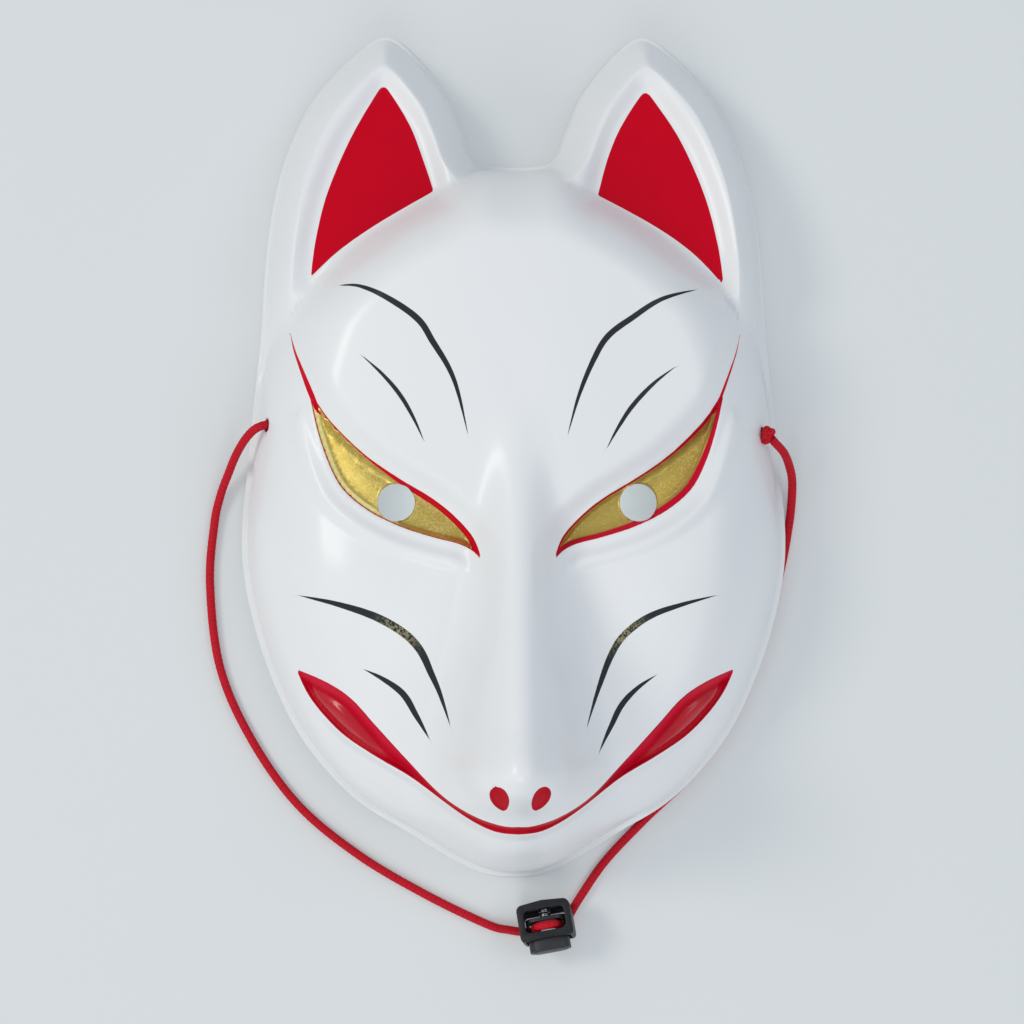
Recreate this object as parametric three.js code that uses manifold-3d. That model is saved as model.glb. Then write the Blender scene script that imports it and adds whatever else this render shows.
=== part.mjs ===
// A Japanese fox mask lying face up on its rim, with its elastic cord and a spring cord lock.
// Millimetres. +Z comes out of the face, +Y points to the ears, +X to the viewer's right.
import * as THREE from 'three';
import { mergeVertices } from 'three/addons/utils/BufferGeometryUtils.js';
import Module from 'manifold-3d';

const wasm = await Module();
wasm.setup();

// Driving dimensions of the moulded shell
const EDGE = 1.2;
const WALL = 2.0;
const LEAST_WALL = 2.4;
const LEAST_LINING = 0.6;
const FACE = { height: 46, halfWidth: 80, halfLength: 110, middleY: 15, fallAcross: 0.38, fallAlong: 0.22 };
const ROLL = { radius: 24, power: 2.2, root: 0.625, softer: 0.3 };
const LIP = 1.6;
const EAR = {
  crest: 27, tipFall: 12, fallFromY: 50, tipRun: 75, fallPower: 1.5, rootLowY: 10, rootHighY: 60,
  wall: 8.5, power: 1.3, root: 1.0, panel: 3.3, bevel: 7,
};
const CREASE = { lowY: 38, runY: 24, innerX: 12, runX: 12, width: 3, wider: 4 };
const PLATE = { rise: 4, ramp: 7 };
const CHEEK = { x: 47, y: -37, reach: 21, rise: 5 };
const LID = { rise: 1.6, from: 1.5, to: 9, highY: 12, innerX: 10, runX: 10, browRamp: 2 };
const JAW = { drop: 2.4, ramp: 3, endX: 62, fade: 14, rimRamp: 8 };
const LIFT = { height: 3.9, highY: -6, fullHighY: -25, fullLowY: -104, lowY: -113, reach: 14 };
const EYE = { depth: 3.0, stations: 11, hole: { x: 34.7, y: -13.7, radius: 5.4, middleZ: 45, length: 60 } };
const MOUTH = { depth: 1.8, stations: 22 };
const NOSTRIL = { x: 5.6, y: -96, halfWidth: 2.5, halfLength: 4.2, lean: 0.36, depth: 1.4, steps: 6 };
const POCKET = { across: [0, 0.35, 0.7, 1], lidZ: 110, tipShare: 0.3, fullGap: 5, margin: 2 };
const BACKING = { reach: 11, depth: 3.8, nostril: 3, samples: 8 };
const GRID = { perSpan: 2, rings: 22, crowd: 1.5, innerRings: 10, poleY: -20, nudge: 0.02 };
const SLOPE_STEP = 0.5;
const STRUT = { shares: [0.2, 0.4, 0.6, 0.8], passes: 2 };
const EAR_BEND = { from: 13, full: 18, hold: 21, to: 24, pull: 0.78, x: 41, y: 62 };
const TEMPLE_HOLES = { length: 12, left: [-72.9, 9, 2.0], right: [72.7, 7.0, 1.65] };

// Driving dimensions of the elastic and its lock
const CORD = { radius: 1.3, sides: 8, leftSteps: 30, loopSteps: 24, rightSteps: 22 };
const LEFT_KNOT = { at: [-68.75, 8.75, 14.5], size: [2.1, 2.5, 2.4] };
const RIGHT_KNOT = { at: [74.4, 5.8, 19.3], size: [2.0, 3.0, 2.0], stub: 3.4 };
const LOCK = {
  origin: [11.56, -148.0, 5.72], turn: 9.5, tilt: 16, roll: 5,
  width: 15.8, start: 3.6, end: 14.4, mouthArch: 0.6, endArch: 0.9,
  depth: 10, side: 1.2, front: 1.1, corner: 1.4,
  windowHalf: 6.1, windowLow: 6.1, windowHigh: 12.9, windowCorner: 1.5,
  backHalf: 6.7, backHigh: 12.0, backCorner: 1.2, cavityTop: 13.4,
};
const PLUNGER = {
  halfWidth: 6.1, halfDepth: 3.6, roundness: 0.8, leg: 0.9, capHalf: 5.2, capDepth: 3.06, capLow: 0.5,
  shoulder: 0.7, joint: 0.1, blockTop: 4.3, barLow: 9.4, barHigh: 10.5,
};
const SPRING = { radius: 1.7, low: 10.8, high: 13.1 };

// Half of the rim seen from the front, from the chin to the notch between the ears
const OUTLINE = [
  [0, -125], [9.5, -123.8], [18.5, -119.6], [30, -112.6], [45.5, -102.7], [56, -92.5], [64.5, -81],
  [71.5, -66.5], [77, -50], [80.2, -34], [80.6, -20], [79.4, -4.8], [77.6, 14], [75.4, 35], [73.7, 60],
  [70.9, 78.5], [66.2, 93.5], [59, 107.3], [47, 119.9], [38.3, 125], [30.3, 120.1], [20.4, 108],
  [15.6, 97.5], [11.2, 88], [0, 86.2],
];
// Where the forehead's own edge leaves the rim and passes in front of the ears
const FOREHEAD = [...OUTLINE.slice(0, 13), [74, 32], [68.5, 47], [61, 57.5], [51, 67], [38, 76], [24, 83],
  [11.2, 86.8], [0, 86.2]];
// The ear's sunk panel, the brow with the snout's ridge, the eye and the mouth, all on the viewer's right
const PANEL = [[38.3, 106.8], [30.7, 96.2], [27, 86.4], [24.2, 75.8], [40.2, 67.6], [51.5, 59.6], [59.8, 51.8],
  [58.2, 63], [55, 76.3], [48.6, 92]];
const BROW = [[0, -101], [14, -98], [19, -88], [17, -75], [14, -60], [11.5, -45], [10.2, -30.3], [12.6, -23.8],
  [18, -17.6], [24.5, -12.4], [33, -7.3], [41, -2], [47, 3], [53.8, 10], [59.5, 18.5], [65.7, 34.7], [72, 46],
  [66, 66], [40, 84], [0, 92]];
const EYE_TOP = [[10.2, -30.3], [12.6, -23.8], [18, -17.6], [24.5, -12.4], [33, -7.3], [41, -2], [47, 3],
  [53.8, 10], [58.3, 16.5], [60.2, 20]];
const EYE_FOOT = [[10.2, -30.3], [12.8, -27.5], [17, -25.4], [24, -23.6], [33.6, -20.5], [42.6, -16],
  [49.8, -10], [54, -2.5], [57.4, 7.5], [60.2, 20]];
const MOUTH_TOP = [[64, -62.1], [55, -65.5], [47.8, -70], [41, -77.4], [33.3, -85.9], [25.3, -94.3],
  [18.8, -99.4], [11.1, -103.5], [4, -105.4], [0, -105.5]];
const MOUTH_FOOT = [[64, -62.1], [60.8, -69], [56, -75.3], [49.5, -81.5], [40.5, -87.2], [32, -92], [24, -97.3],
  [15, -103.2], [7, -106.8], [0, -107.6]];
// The snout's ridge: [y, height over the dome, half-width]
const RIDGE = [[-125, 18, 36], [-116, 20, 35.5], [-108, 20, 35], [-103, 24, 34], [-98, 34, 33], [-93, 41, 31.5],
  [-88, 43.5, 30.5], [-75, 36, 27], [-55, 25, 22], [-30, 13, 17], [-5, 4, 12], [15, 0, 10], [40, 0, 10],
  [125, 0, 10]];

// Curves and distances
const mirrored = (half) => [...half, ...half.slice(1, -1).reverse().map(([x, y]) => [-x, y])];
const smooth = (u) => {
  const v = THREE.MathUtils.clamp(u, 0, 1);
  return v * v * (3 - 2 * v);
};

function closedCurve(points, perSpan) {
  const curve = new THREE.CatmullRomCurve3(
    points.map(([x, y]) => new THREE.Vector3(x, y, 0)), true, 'catmullrom', 0.5);
  return curve.getPoints(points.length * perSpan).slice(0, -1).map((p) => [p.x, p.y]);
}

function openCurve(points, count) {
  const curve = new THREE.SplineCurve(points.map(([x, y]) => new THREE.Vector2(x, y)));
  return curve.getPoints(count).map((p) => [p.x, p.y]);
}

// Distance to a closed line, positive inside it
function inside(x, y, line) {
  let best = Infinity;
  let odd = false;
  line.forEach(([bx, by], i) => {
    const [ax, ay] = line[(i + line.length - 1) % line.length];
    const dx = bx - ax;
    const dy = by - ay;
    const t = THREE.MathUtils.clamp(((x - ax) * dx + (y - ay) * dy) / (dx * dx + dy * dy), 0, 1);
    best = Math.min(best, Math.hypot(x - ax - t * dx, y - ay - t * dy));
    if ((ay > y) !== (by > y) && x < (dx * (y - ay)) / dy + ax) odd = !odd;
  });
  return odd ? best : -best;
}

// A smooth curve through [y, value] stations, with the slope of the stations on both sides
function station(y, rows, column) {
  const last = rows.length - 2;
  const i = Math.min(Math.max(rows.findIndex((r) => r[0] > y) - 1, 0), last);
  const slope = (k) => {
    const a = rows[Math.max(k - 1, 0)];
    const b = rows[Math.min(k + 1, rows.length - 1)];
    return (b[column] - a[column]) / (b[0] - a[0]);
  };
  const run = rows[i + 1][0] - rows[i][0];
  const t = THREE.MathUtils.clamp((y - rows[i][0]) / run, 0, 1);
  return (2 * t ** 3 - 3 * t * t + 1) * rows[i][column] + (t ** 3 - 2 * t * t + t) * run * slope(i)
    + (3 * t * t - 2 * t ** 3) * rows[i + 1][column] + (t ** 3 - t * t) * run * slope(i + 1);
}

const rolled = (d, radius, power, root) => (
  (1 - (1 - THREE.MathUtils.clamp(d / radius, 0, 1)) ** power) ** root);

function softMax(a, b, width) {
  const h = Math.max(width - Math.abs(a - b), 0) / width;
  return Math.max(a, b) + (h * h * width) / 4;
}

const RIM_LINE = closedCurve(mirrored(OUTLINE), 4);
const FOREHEAD_LINE = closedCurve(mirrored(FOREHEAD), 4);
const BROW_LINE = closedCurve(mirrored(BROW), 2);
const PANEL_LINE = [PANEL.slice(0, 4), PANEL.slice(3, 7), [...PANEL.slice(6), PANEL[0]]]
  .flatMap((side) => openCurve(side, 7).slice(0, -1));
const EYE_LINE = [...openCurve(EYE_TOP, 18), ...openCurve(EYE_FOOT, 18).reverse().slice(1, -1)];
const MOUTH_LINE = mirrored([...openCurve(MOUTH_TOP, 20).reverse(), ...openCurve(MOUTH_FOOT, 20).slice(1)]);
const JAW_EDGE = openCurve(MOUTH_FOOT, 20);

// The rim arches up a little under both cheeks
function lift(y) {
  return LIFT.height * smooth((LIFT.highY - y) / (LIFT.highY - LIFT.fullHighY))
    * smooth((y - LIFT.lowY) / (LIFT.fullLowY - LIFT.lowY));
}

// Height of the face's outside over the rim's plane, without the cut pockets
function surface(x, y) {
  const ax = Math.abs(x);
  const rim = Math.max(inside(x, y, RIM_LINE), 0);
  const edge = inside(x, y, FOREHEAD_LINE);
  const dome = FACE.height * (1 - FACE.fallAcross * (x / FACE.halfWidth) ** 2
    - FACE.fallAlong * ((y - FACE.middleY) / FACE.halfLength) ** 2);
  const half = station(y, RIDGE, 2);
  const ridge = station(y, RIDGE, 1) * 0.5 * (1 + Math.cos(Math.PI * Math.min(ax / half, 1)));
  const cheek = CHEEK.rise * Math.exp(-(((ax - CHEEK.x) ** 2 + (y - CHEEK.y) ** 2) / CHEEK.reach ** 2));
  const plate = PLATE.rise * smooth(inside(x, y, BROW_LINE) / PLATE.ramp);
  const fromEye = -inside(ax, y, EYE_LINE);
  const lid = y < LID.highY ? LID.rise * Math.sin(Math.PI * smooth((fromEye - LID.from) / (LID.to - LID.from)))
    * smooth((ax - LID.innerX) / LID.runX) * (1 - smooth(inside(x, y, BROW_LINE) / LID.browRamp)) : 0;
  const overEar = smooth((y - CREASE.lowY) / CREASE.runY) * smooth((ax - CREASE.innerX) / CREASE.runX);
  const roll = rolled(Math.max(edge - LIP, 0), ROLL.radius, ROLL.power, ROLL.root + ROLL.softer * overEar);
  const head = edge > 0 ? (dome + ridge + cheek + plate + lid) * roll : 3 * edge;
  const crest = EAR.crest * smooth((y - EAR.rootLowY) / (EAR.rootHighY - EAR.rootLowY))
    - EAR.tipFall * Math.max((y - EAR.fallFromY) / EAR.tipRun, 0) ** EAR.fallPower;
  const sunk = EAR.panel * smooth((inside(ax, y, PANEL_LINE) + EAR.bevel) / EAR.bevel);
  const ear = crest * rolled(Math.max(rim - LIP / 2, 0), EAR.wall, EAR.power, EAR.root) - sunk;
  const up = lift(y) * (1 - smooth(rim / LIFT.reach));
  return EDGE + up + softMax(head, ear, CREASE.width + CREASE.wider * overEar) - jawDrop(x, y);
}

// The jaw lies a little under the upper lip
function jawDrop(x, y) {
  const ax = Math.abs(x);
  const i = JAW_EDGE.findIndex((p) => p[0] <= ax);
  if (i < 1) return 0;
  const [x1, y1] = JAW_EDGE[i - 1];
  const [x2, y2] = JAW_EDGE[i];
  const line = y1 + ((y2 - y1) * (ax - x1)) / (x2 - x1);
  return JAW.drop * smooth((line - y) / JAW.ramp) * smooth((JAW.endX - ax) / JAW.fade)
    * smooth(inside(x, y, RIM_LINE) / JAW.rimRamp);
}

// The inside is the lowest face a ball one wall in radius touches, and deeper behind the eyes and the mouth
function lining(x, y) {
  const ax = Math.abs(x);
  const pocket = Math.max(inside(ax, y, EYE_LINE), inside(x, y, MOUTH_LINE),
    BACKING.nostril - Math.hypot(ax - NOSTRIL.x, y - NOSTRIL.y));
  let low = surface(x, y) - WALL;
  for (let k = 0; k < BACKING.samples; k += 1) {
    const a = (2 * Math.PI * k) / BACKING.samples;
    low = Math.min(low, surface(x + WALL * Math.cos(a), y + WALL * Math.sin(a)));
  }
  return low - BACKING.depth * smooth((pocket + BACKING.reach) / BACKING.reach);
}

// The face with its pockets cut to their full depth
function cutSurface(x, y) {
  const ax = Math.abs(x);
  const eye = inside(ax, y, EYE_LINE) > -POCKET.margin ? EYE.depth : 0;
  const mouth = inside(x, y, MOUTH_LINE) > -POCKET.margin ? MOUTH.depth : 0;
  return surface(x, y) - Math.max(eye, mouth);
}

// The lining's heights over its grid, lowered where a straight edge of the grid would come too near the face
function liningHeights(plan) {
  const heights = plan.map((row) => row.map(([x, y]) => Math.max(lining(x, y), lift(y) + LEAST_LINING)));
  const struts = [];
  plan.forEach((row, r) => row.forEach((place, i) => {
    const j = (i + 1) % row.length;
    const below = r + 1;
    [[[r, i], [r, j]], [[r, i], [below, i]], [[r, i], [below, j]], [[r, j], [below, i]]].forEach(([from, to]) => {
      if (to[0] >= plan.length) return;
      const [x0, y0] = plan[from[0]][from[1]];
      const [x1, y1] = plan[to[0]][to[1]];
      STRUT.shares.forEach((u) => {
        const roof = cutSurface(x0 + (x1 - x0) * u, y0 + (y1 - y0) * u) - LEAST_WALL;
        struts.push({ from, to, u, roof });
      });
    });
  }));
  for (let pass = 0; pass < STRUT.passes; pass += 1) {
    struts.forEach(({ from: [r, i], to: [s, k], u, roof }) => {
      const over = Math.max(heights[r][i] * (1 - u) + heights[s][k] * u - roof, 0);
      heights[r][i] -= over;
      heights[s][k] -= over;
    });
  }
  return heights;
}

// The grid: spokes run from a point on the nose bridge to the rim, and those of an ear bend through its middle
function spokes() {
  const line = closedCurve(mirrored(OUTLINE), GRID.perSpan);
  return line.map(([ox, oy], i) => {
    const station = Math.min(i, line.length - i) / GRID.perSpan;
    const side = i > line.length / 2 ? -1 : 1;
    const { from, full, hold, to, pull, x, y } = EAR_BEND;
    const weight = pull * smooth((station - from) / (full - from)) * smooth((to - station) / (to - hold));
    const bx = ox / 2 + weight * (side * x - ox / 2);
    const by = (oy + GRID.poleY) / 2 + weight * (y - (oy + GRID.poleY) / 2);
    return (t) => [2 * t * (1 - t) * bx + t * t * ox,
      (1 - t) ** 2 * GRID.poleY + 2 * t * (1 - t) * by + t * t * oy];
  });
}

function closedMesh(positions, faces) {
  const geometry = new THREE.BufferGeometry();
  geometry.setAttribute('position', new THREE.Float32BufferAttribute(positions.flat(), 3));
  geometry.setIndex(faces.flat());
  return geometry;
}

function shellGeometry() {
  const lines = spokes();
  const count = lines.length;
  const points = [];
  const faces = [];
  const ring = (make) => {
    const first = points.length;
    lines.forEach((spoke) => points.push(make(spoke)));
    return first;
  };
  // Four-sided faces between two rings, each cut along the diagonal whose middle lies nearer the true height
  const join = (a, b, height) => {
    const miss = (m, n) => {
      const [x, y, z] = points[m].map((value, k) => (value + points[n][k]) / 2);
      return height ? Math.abs(z - height(x, y)) : 0;
    };
    for (let i = 0; i < count; i += 1) {
      const j = (i + 1) % count;
      const [p, q, r, s] = [a + i, b + i, b + j, a + j];
      if (miss(p, r) <= miss(q, s)) faces.push([p, q, r], [p, r, s]);
      else faces.push([p, q, s], [q, r, s]);
    }
  };
  const at = (k, rings) => 1 - (1 - k / rings) ** GRID.crowd;
  const top = points.push([0, GRID.poleY, surface(0, GRID.poleY)]) - 1;
  let before = -1;
  for (let k = 1; k <= GRID.rings; k += 1) {
    const t = at(k, GRID.rings);
    const here = ring((spoke) => {
      const [x, y] = spoke(t);
      return [x, y, surface(x, y)];
    });
    if (before < 0) {
      for (let i = 0; i < count; i += 1) faces.push([top, here + i, here + ((i + 1) % count)]);
    } else {
      join(before, here, surface);
    }
    before = here;
  }
  const foot = ring((spoke) => {
    const [x, y] = spoke(1);
    return [x, y, lift(y)];
  });
  join(before, foot);
  // The lining starts one wall inside the rim
  const inset = (spoke, t) => {
    const [x, y] = spoke(t);
    const ahead = Math.min(t + GRID.nudge, 1);
    const [x1, y1] = spoke(ahead);
    const [x0, y0] = spoke(ahead - GRID.nudge);
    const run = Math.hypot(x1 - x0, y1 - y0);
    return [x - ((x1 - x0) / run) * WALL, y - ((y1 - y0) / run) * WALL];
  };
  let inner = ring((spoke) => {
    const [x, y] = inset(spoke, 1);
    return [x, y, lift(y)];
  });
  join(foot, inner);
  const plan = [];
  for (let k = GRID.innerRings - 1; k > 0; k -= 1) {
    plan.push(lines.map((spoke) => inset(spoke, at(k, GRID.innerRings))));
  }
  liningHeights(plan).forEach((row, r) => {
    const here = points.length;
    row.forEach((z, i) => points.push([...plan[r][i], z]));
    join(inner, here, r > 0 && lining);
    inner = here;
  });
  const under = points.push([0, GRID.poleY, lining(0, GRID.poleY)]) - 1;
  for (let i = 0; i < count; i += 1) faces.push([under, inner + ((i + 1) % count), inner + i]);
  return closedMesh(points, faces);
}

// Solids in and out of the boolean library
function solid(geometry) {
  const bare = geometry.clone();
  bare.deleteAttribute('normal');
  bare.deleteAttribute('uv');
  const merged = mergeVertices(bare, 1e-4);
  return new wasm.Manifold(new wasm.Mesh({
    numProp: 3,
    vertProperties: new Float32Array(merged.attributes.position.array),
    triVerts: new Uint32Array(merged.index.array),
  }));
}

function geometryOf(manifold) {
  const mesh = manifold.getMesh();
  const geometry = new THREE.BufferGeometry();
  geometry.setAttribute('position', new THREE.Float32BufferAttribute(mesh.vertProperties, 3));
  geometry.setIndex(Array.from(mesh.triVerts));
  geometry.computeVertexNormals();
  return geometry;
}

// A cutter between two lines that meet at their ends; its floor is less deep where it is narrow
function pocket(topLine, footLine, depth) {
  const count = topLine.length;
  const points = [];
  const faces = [];
  const { across, lidZ, tipShare, fullGap } = POCKET;
  const layer = (height) => {
    const first = points.length;
    for (let i = 0; i < count; i += 1) {
      const dx = footLine[i][0] - topLine[i][0];
      const dy = footLine[i][1] - topLine[i][1];
      across.forEach((u) => {
        const x = topLine[i][0] + dx * u;
        const y = topLine[i][1] + dy * u;
        points.push([x, y, height(x, y, Math.hypot(dx, dy))]);
      });
    }
    return first;
  };
  const wide = across.length;
  const floor = layer((x, y, gap) => surface(x, y) - depth * Math.min(1, tipShare + gap / fullGap));
  const lid = layer(() => lidZ);
  const quad = (a, b, c, d) => faces.push([a, b, c], [a, c, d]);
  for (let i = 0; i + 1 < count; i += 1) {
    for (let k = 0; k + 1 < wide; k += 1) {
      const p = i * wide + k;
      quad(floor + p, floor + p + 1, floor + p + wide + 1, floor + p + wide);
      quad(lid + p, lid + p + wide, lid + p + wide + 1, lid + p + 1);
    }
    const a = i * wide;
    const b = a + wide - 1;
    quad(floor + a, floor + a + wide, lid + a + wide, lid + a);
    quad(floor + b, lid + b, lid + b + wide, floor + b + wide);
  }
  for (let k = 0; k + 1 < wide; k += 1) {
    const e = (count - 1) * wide + k;
    quad(floor + k, lid + k, lid + k + 1, floor + k + 1);
    quad(floor + e, floor + e + 1, lid + e + 1, lid + e);
  }
  const cutter = solid(closedMesh(points, faces));
  return cutter.volume() < 0 ? solid(closedMesh(points, faces.map(([a, b, c]) => [a, c, b]))) : cutter;
}

const flipX = (line) => line.map(([x, y]) => [-x, y]);

function nostrilLines(side) {
  const turn = side * NOSTRIL.lean;
  const place = (a) => {
    const u = Math.cos(a) * NOSTRIL.halfLength;
    const v = Math.sin(a) * NOSTRIL.halfWidth;
    return [side * NOSTRIL.x + v * Math.cos(turn) + u * Math.sin(turn),
      NOSTRIL.y + u * Math.cos(turn) - v * Math.sin(turn)];
  };
  const angles = Array.from({ length: NOSTRIL.steps + 1 }, (_, i) => (i * Math.PI) / NOSTRIL.steps);
  return [angles.map(place), angles.map((a) => place(-a))];
}

function pin(x, y, z, radius, length, direction, sides = 20) {
  const round = new THREE.CylinderGeometry(radius, radius, length, sides);
  const up = new THREE.Vector3(0, 1, 0);
  const turn = new THREE.Quaternion().setFromUnitVectors(up, direction.clone().normalize());
  round.applyQuaternion(turn);
  round.translate(x, y, z);
  return solid(round);
}

// Outward normal of the face
function normalAt(x, y) {
  const step = SLOPE_STEP;
  return new THREE.Vector3((surface(x - step, y) - surface(x + step, y)) / (2 * step),
    (surface(x, y - step) - surface(x, y + step)) / (2 * step), 1).normalize();
}

function maskShell() {
  let shell = solid(shellGeometry());
  [1, -1].forEach((side) => {
    const flip = side > 0 ? (line) => line : flipX;
    const [top, foot] = [EYE_TOP, EYE_FOOT].map((half) => flip(openCurve(half, EYE.stations)));
    shell = shell.subtract(pocket(top, foot, EYE.depth));
    shell = shell.subtract(pocket(...nostrilLines(side), NOSTRIL.depth));
    const { x, y, radius, middleZ, length } = EYE.hole;
    shell = shell.subtract(pin(side * x, y, middleZ, radius, length, new THREE.Vector3(0, 0, 1)));
  });
  [TEMPLE_HOLES.left, TEMPLE_HOLES.right].forEach(([x, y, radius]) => {
    shell = shell.subtract(pin(x, y, surface(x, y), radius, TEMPLE_HOLES.length, normalAt(x, y)));
  });
  const whole = (half) => {
    const right = openCurve(half, MOUTH.stations / 2);
    return [...right, ...flipX(right).reverse().slice(1)];
  };
  shell = shell.subtract(pocket(whole(MOUTH_TOP), whole(MOUTH_FOOT), MOUTH.depth));
  return geometryOf(shell);
}

// The elastic: one cord from the left temple hole, round the side, through the lock and to the right temple
const FLOOR_LINE = 1.33;
const LEFT_ROUTE = [
  [-71.1, 9.2, 15.6], [-73.4, 9.1, 16.4], [-76.4, 7.8, 16.4], [-79.4, 4.8, 13.6], [-82.3, 0.3, 9.1],
  [-84.8, -5.2, 4.9], [-87.2, -11.5, 2.7], [-89.1, -20, 1.55], [-90.4, -38, FLOOR_LINE],
  [-87.5, -62.3, FLOOR_LINE], [-78.6, -83.2, FLOOR_LINE], [-64.6, -103.2, FLOOR_LINE], [-46.6, -118.3, FLOOR_LINE],
  [-26.5, -130.3, FLOOR_LINE], [-8, -139.3, FLOOR_LINE], [-1.9, -140.93, 1.36],
];
const RIGHT_ROUTE = [
  [20.2, -130.7, 1.36], [27.4, -120.4, FLOOR_LINE], [38.9, -108.3, FLOOR_LINE], [53.6, -93.8, FLOOR_LINE],
  [66.2, -74.4, FLOOR_LINE], [75.4, -50, FLOOR_LINE], [79.9, -33, FLOOR_LINE], [82.1, -21, 1.45],
  [82.9, -13.6, 2.3], [82.75, -7, 5.4], [81.4, -2.6, 9.7], [79.3, 1.1, 14.6], [76.4, 3.95, 17.9],
];
// The cord under, up through and over the lock: its ends on the ground, its bight in the lock's frame
const LOOP_START = [[-1.5, -141, 1.38]];
const BIGHT = [
  [-7.6, 8.6, -1.4], [-4.5, 7.9, -0.3], [-3.25, 7.75, 2.5], [-3.65, 7.75, 5.9], [-2.6, 7.75, 8.4],
  [0, 7.75, 9.45], [2.6, 7.75, 8.4], [3.65, 7.75, 5.9], [3.3, 7.9, 2.5], [4.6, 8.7, -0.3],
];
const LOOP_END = [[16.6, -136.6, 1.5], [20, -131, 1.36]];

function cordTube(route, steps) {
  const section = new THREE.Shape(Array.from({ length: CORD.sides }, (_, i) => {
    const a = (2 * Math.PI * (i + 0.5)) / CORD.sides;
    return new THREE.Vector2(CORD.radius * Math.cos(a), CORD.radius * Math.sin(a));
  }));
  const path = new THREE.CatmullRomCurve3(route.map((p) => new THREE.Vector3(...p)), false, 'catmullrom', 0.5);
  return new THREE.ExtrudeGeometry(section, { steps, extrudePath: path });
}

// The lock's own frame: across, along the plunger towards the closed end, and out of the front
const lockFrame = new THREE.Group();
{
  const turn = THREE.MathUtils.degToRad(LOCK.turn);
  const tilt = THREE.MathUtils.degToRad(LOCK.tilt);
  const roll = THREE.MathUtils.degToRad(LOCK.roll);
  lockFrame.quaternion.setFromAxisAngle(new THREE.Vector3(0, 0, 1), turn);
  lockFrame.rotateX(-tilt);
  lockFrame.rotateY(-roll);
  lockFrame.position.set(...LOCK.origin);
  lockFrame.updateMatrix();
}

function slab(outline, low, high) {
  const shape = new THREE.Shape(outline.map(([a, b]) => new THREE.Vector2(a, b)));
  const geometry = new THREE.ExtrudeGeometry(shape, { depth: high - low, bevelEnabled: false });
  return geometry.translate(0, 0, low);
}

const box = (a0, a1, b0, b1, c0, c1) => slab([[a0, b0], [a1, b0], [a1, b1], [a0, b1]], c0, c1);

// An outline with quarter-round corners whose two long edges may bow towards the closed end
function roundedOutline(half, low, high, corner, lowArch = 0, highArch = 0) {
  const points = [];
  const centres = [[half - corner, high - corner, 0, highArch], [corner - half, high - corner, 90, highArch],
    [corner - half, low + corner, 180, lowArch], [half - corner, low + corner, 270, lowArch]];
  centres.forEach(([a, b, from, arch]) => {
    for (let k = 0; k <= 3; k += 1) {
      const angle = THREE.MathUtils.degToRad(from + 30 * k);
      const x = a + corner * Math.cos(angle);
      points.push([x, b + corner * Math.sin(angle) + arch * (1 - (x / half) ** 2)]);
    }
    if (from === 0 && highArch) points.push([0, high + highArch]);
    if (from === 180 && lowArch) points.push([0, low + lowArch]);
  });
  return points;
}

function lockBarrel() {
  const { width, start, end, mouthArch, endArch, depth, side, front, corner } = LOCK;
  const inner = width / 2 - side;
  let body = solid(slab(roundedOutline(width / 2, start, end, corner, mouthArch, endArch), 0, depth));
  body = body.subtract(solid(box(-inner, inner, start - 1, LOCK.cavityTop, front, depth - front)));
  const { windowHalf, windowLow, windowHigh, windowCorner, backHalf, backHigh, backCorner } = LOCK;
  const window = roundedOutline(windowHalf, windowLow, windowHigh, windowCorner);
  body = body.subtract(solid(slab(window, depth / 2, depth + 1)));
  body = body.subtract(solid(slab(roundedOutline(backHalf, windowLow, backHigh, backCorner), -1, depth / 2)));
  return geometryOf(body);
}

// The plunger's section across the sliding axis is a slab with rounded sides
function plungerPiece(half, halfDepth, low, high) {
  const piece = slab(roundedOutline(half, -halfDepth, halfDepth, halfDepth * PLUNGER.roundness), 0, high - low);
  return piece.rotateX(-Math.PI / 2).translate(0, low, LOCK.depth / 2);
}

function lockPlunger() {
  const { halfWidth, halfDepth, leg, shoulder, joint, blockTop, barLow, barHigh } = PLUNGER;
  const { capHalf, capDepth, capLow } = PLUNGER;
  let plunger = solid(plungerPiece(halfWidth, halfDepth, shoulder, barHigh));
  plunger = plunger.add(solid(plungerPiece(capHalf, capDepth, capLow, shoulder + joint)));
  plunger = plunger.subtract(solid(box(leg - halfWidth, halfWidth - leg, blockTop, barLow, 0, LOCK.depth)));
  return geometryOf(plunger);
}

function lockSpring() {
  const coil = new THREE.CylinderGeometry(SPRING.radius, SPRING.radius, SPRING.high - SPRING.low, 12);
  return coil.translate(0, (SPRING.low + SPRING.high) / 2, LOCK.depth / 2);
}

function loopRoute() {
  const inLock = BIGHT.map((p) => new THREE.Vector3(...p).applyMatrix4(lockFrame.matrix).toArray());
  return [...LOOP_START, ...inLock, ...LOOP_END];
}

// The left knot lies inside its hole
function leftKnot() {
  return new THREE.SphereGeometry(1, 9, 6).scale(...LEFT_KNOT.size).translate(...LEFT_KNOT.at);
}

// The right knot lies outside on its hole, with the cord's stub down the hole
function rightKnot() {
  const knot = solid(new THREE.SphereGeometry(1, 9, 6).scale(...RIGHT_KNOT.size).translate(...RIGHT_KNOT.at));
  const [x, y] = TEMPLE_HOLES.right;
  const stub = pin(x, y, surface(x, y), CORD.radius, RIGHT_KNOT.stub, normalAt(x, y), CORD.sides);
  return geometryOf(knot.add(stub));
}

const material = (color, roughness, metalness = 0) => (
  new THREE.MeshStandardMaterial({ color, roughness, metalness }));
const WHITE = material(0xdfe3e6, 0.5);
const RED = material(0xb3141f, 0.75);
const BLACK = material(0x24262a, 0.45);
const STEEL = material(0x9a9ea3, 0.35, 0.9);

function named(name, geometry, finish, parent) {
  const mesh = new THREE.Mesh(geometry, finish);
  mesh.name = name;
  parent.add(mesh);
}

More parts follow.
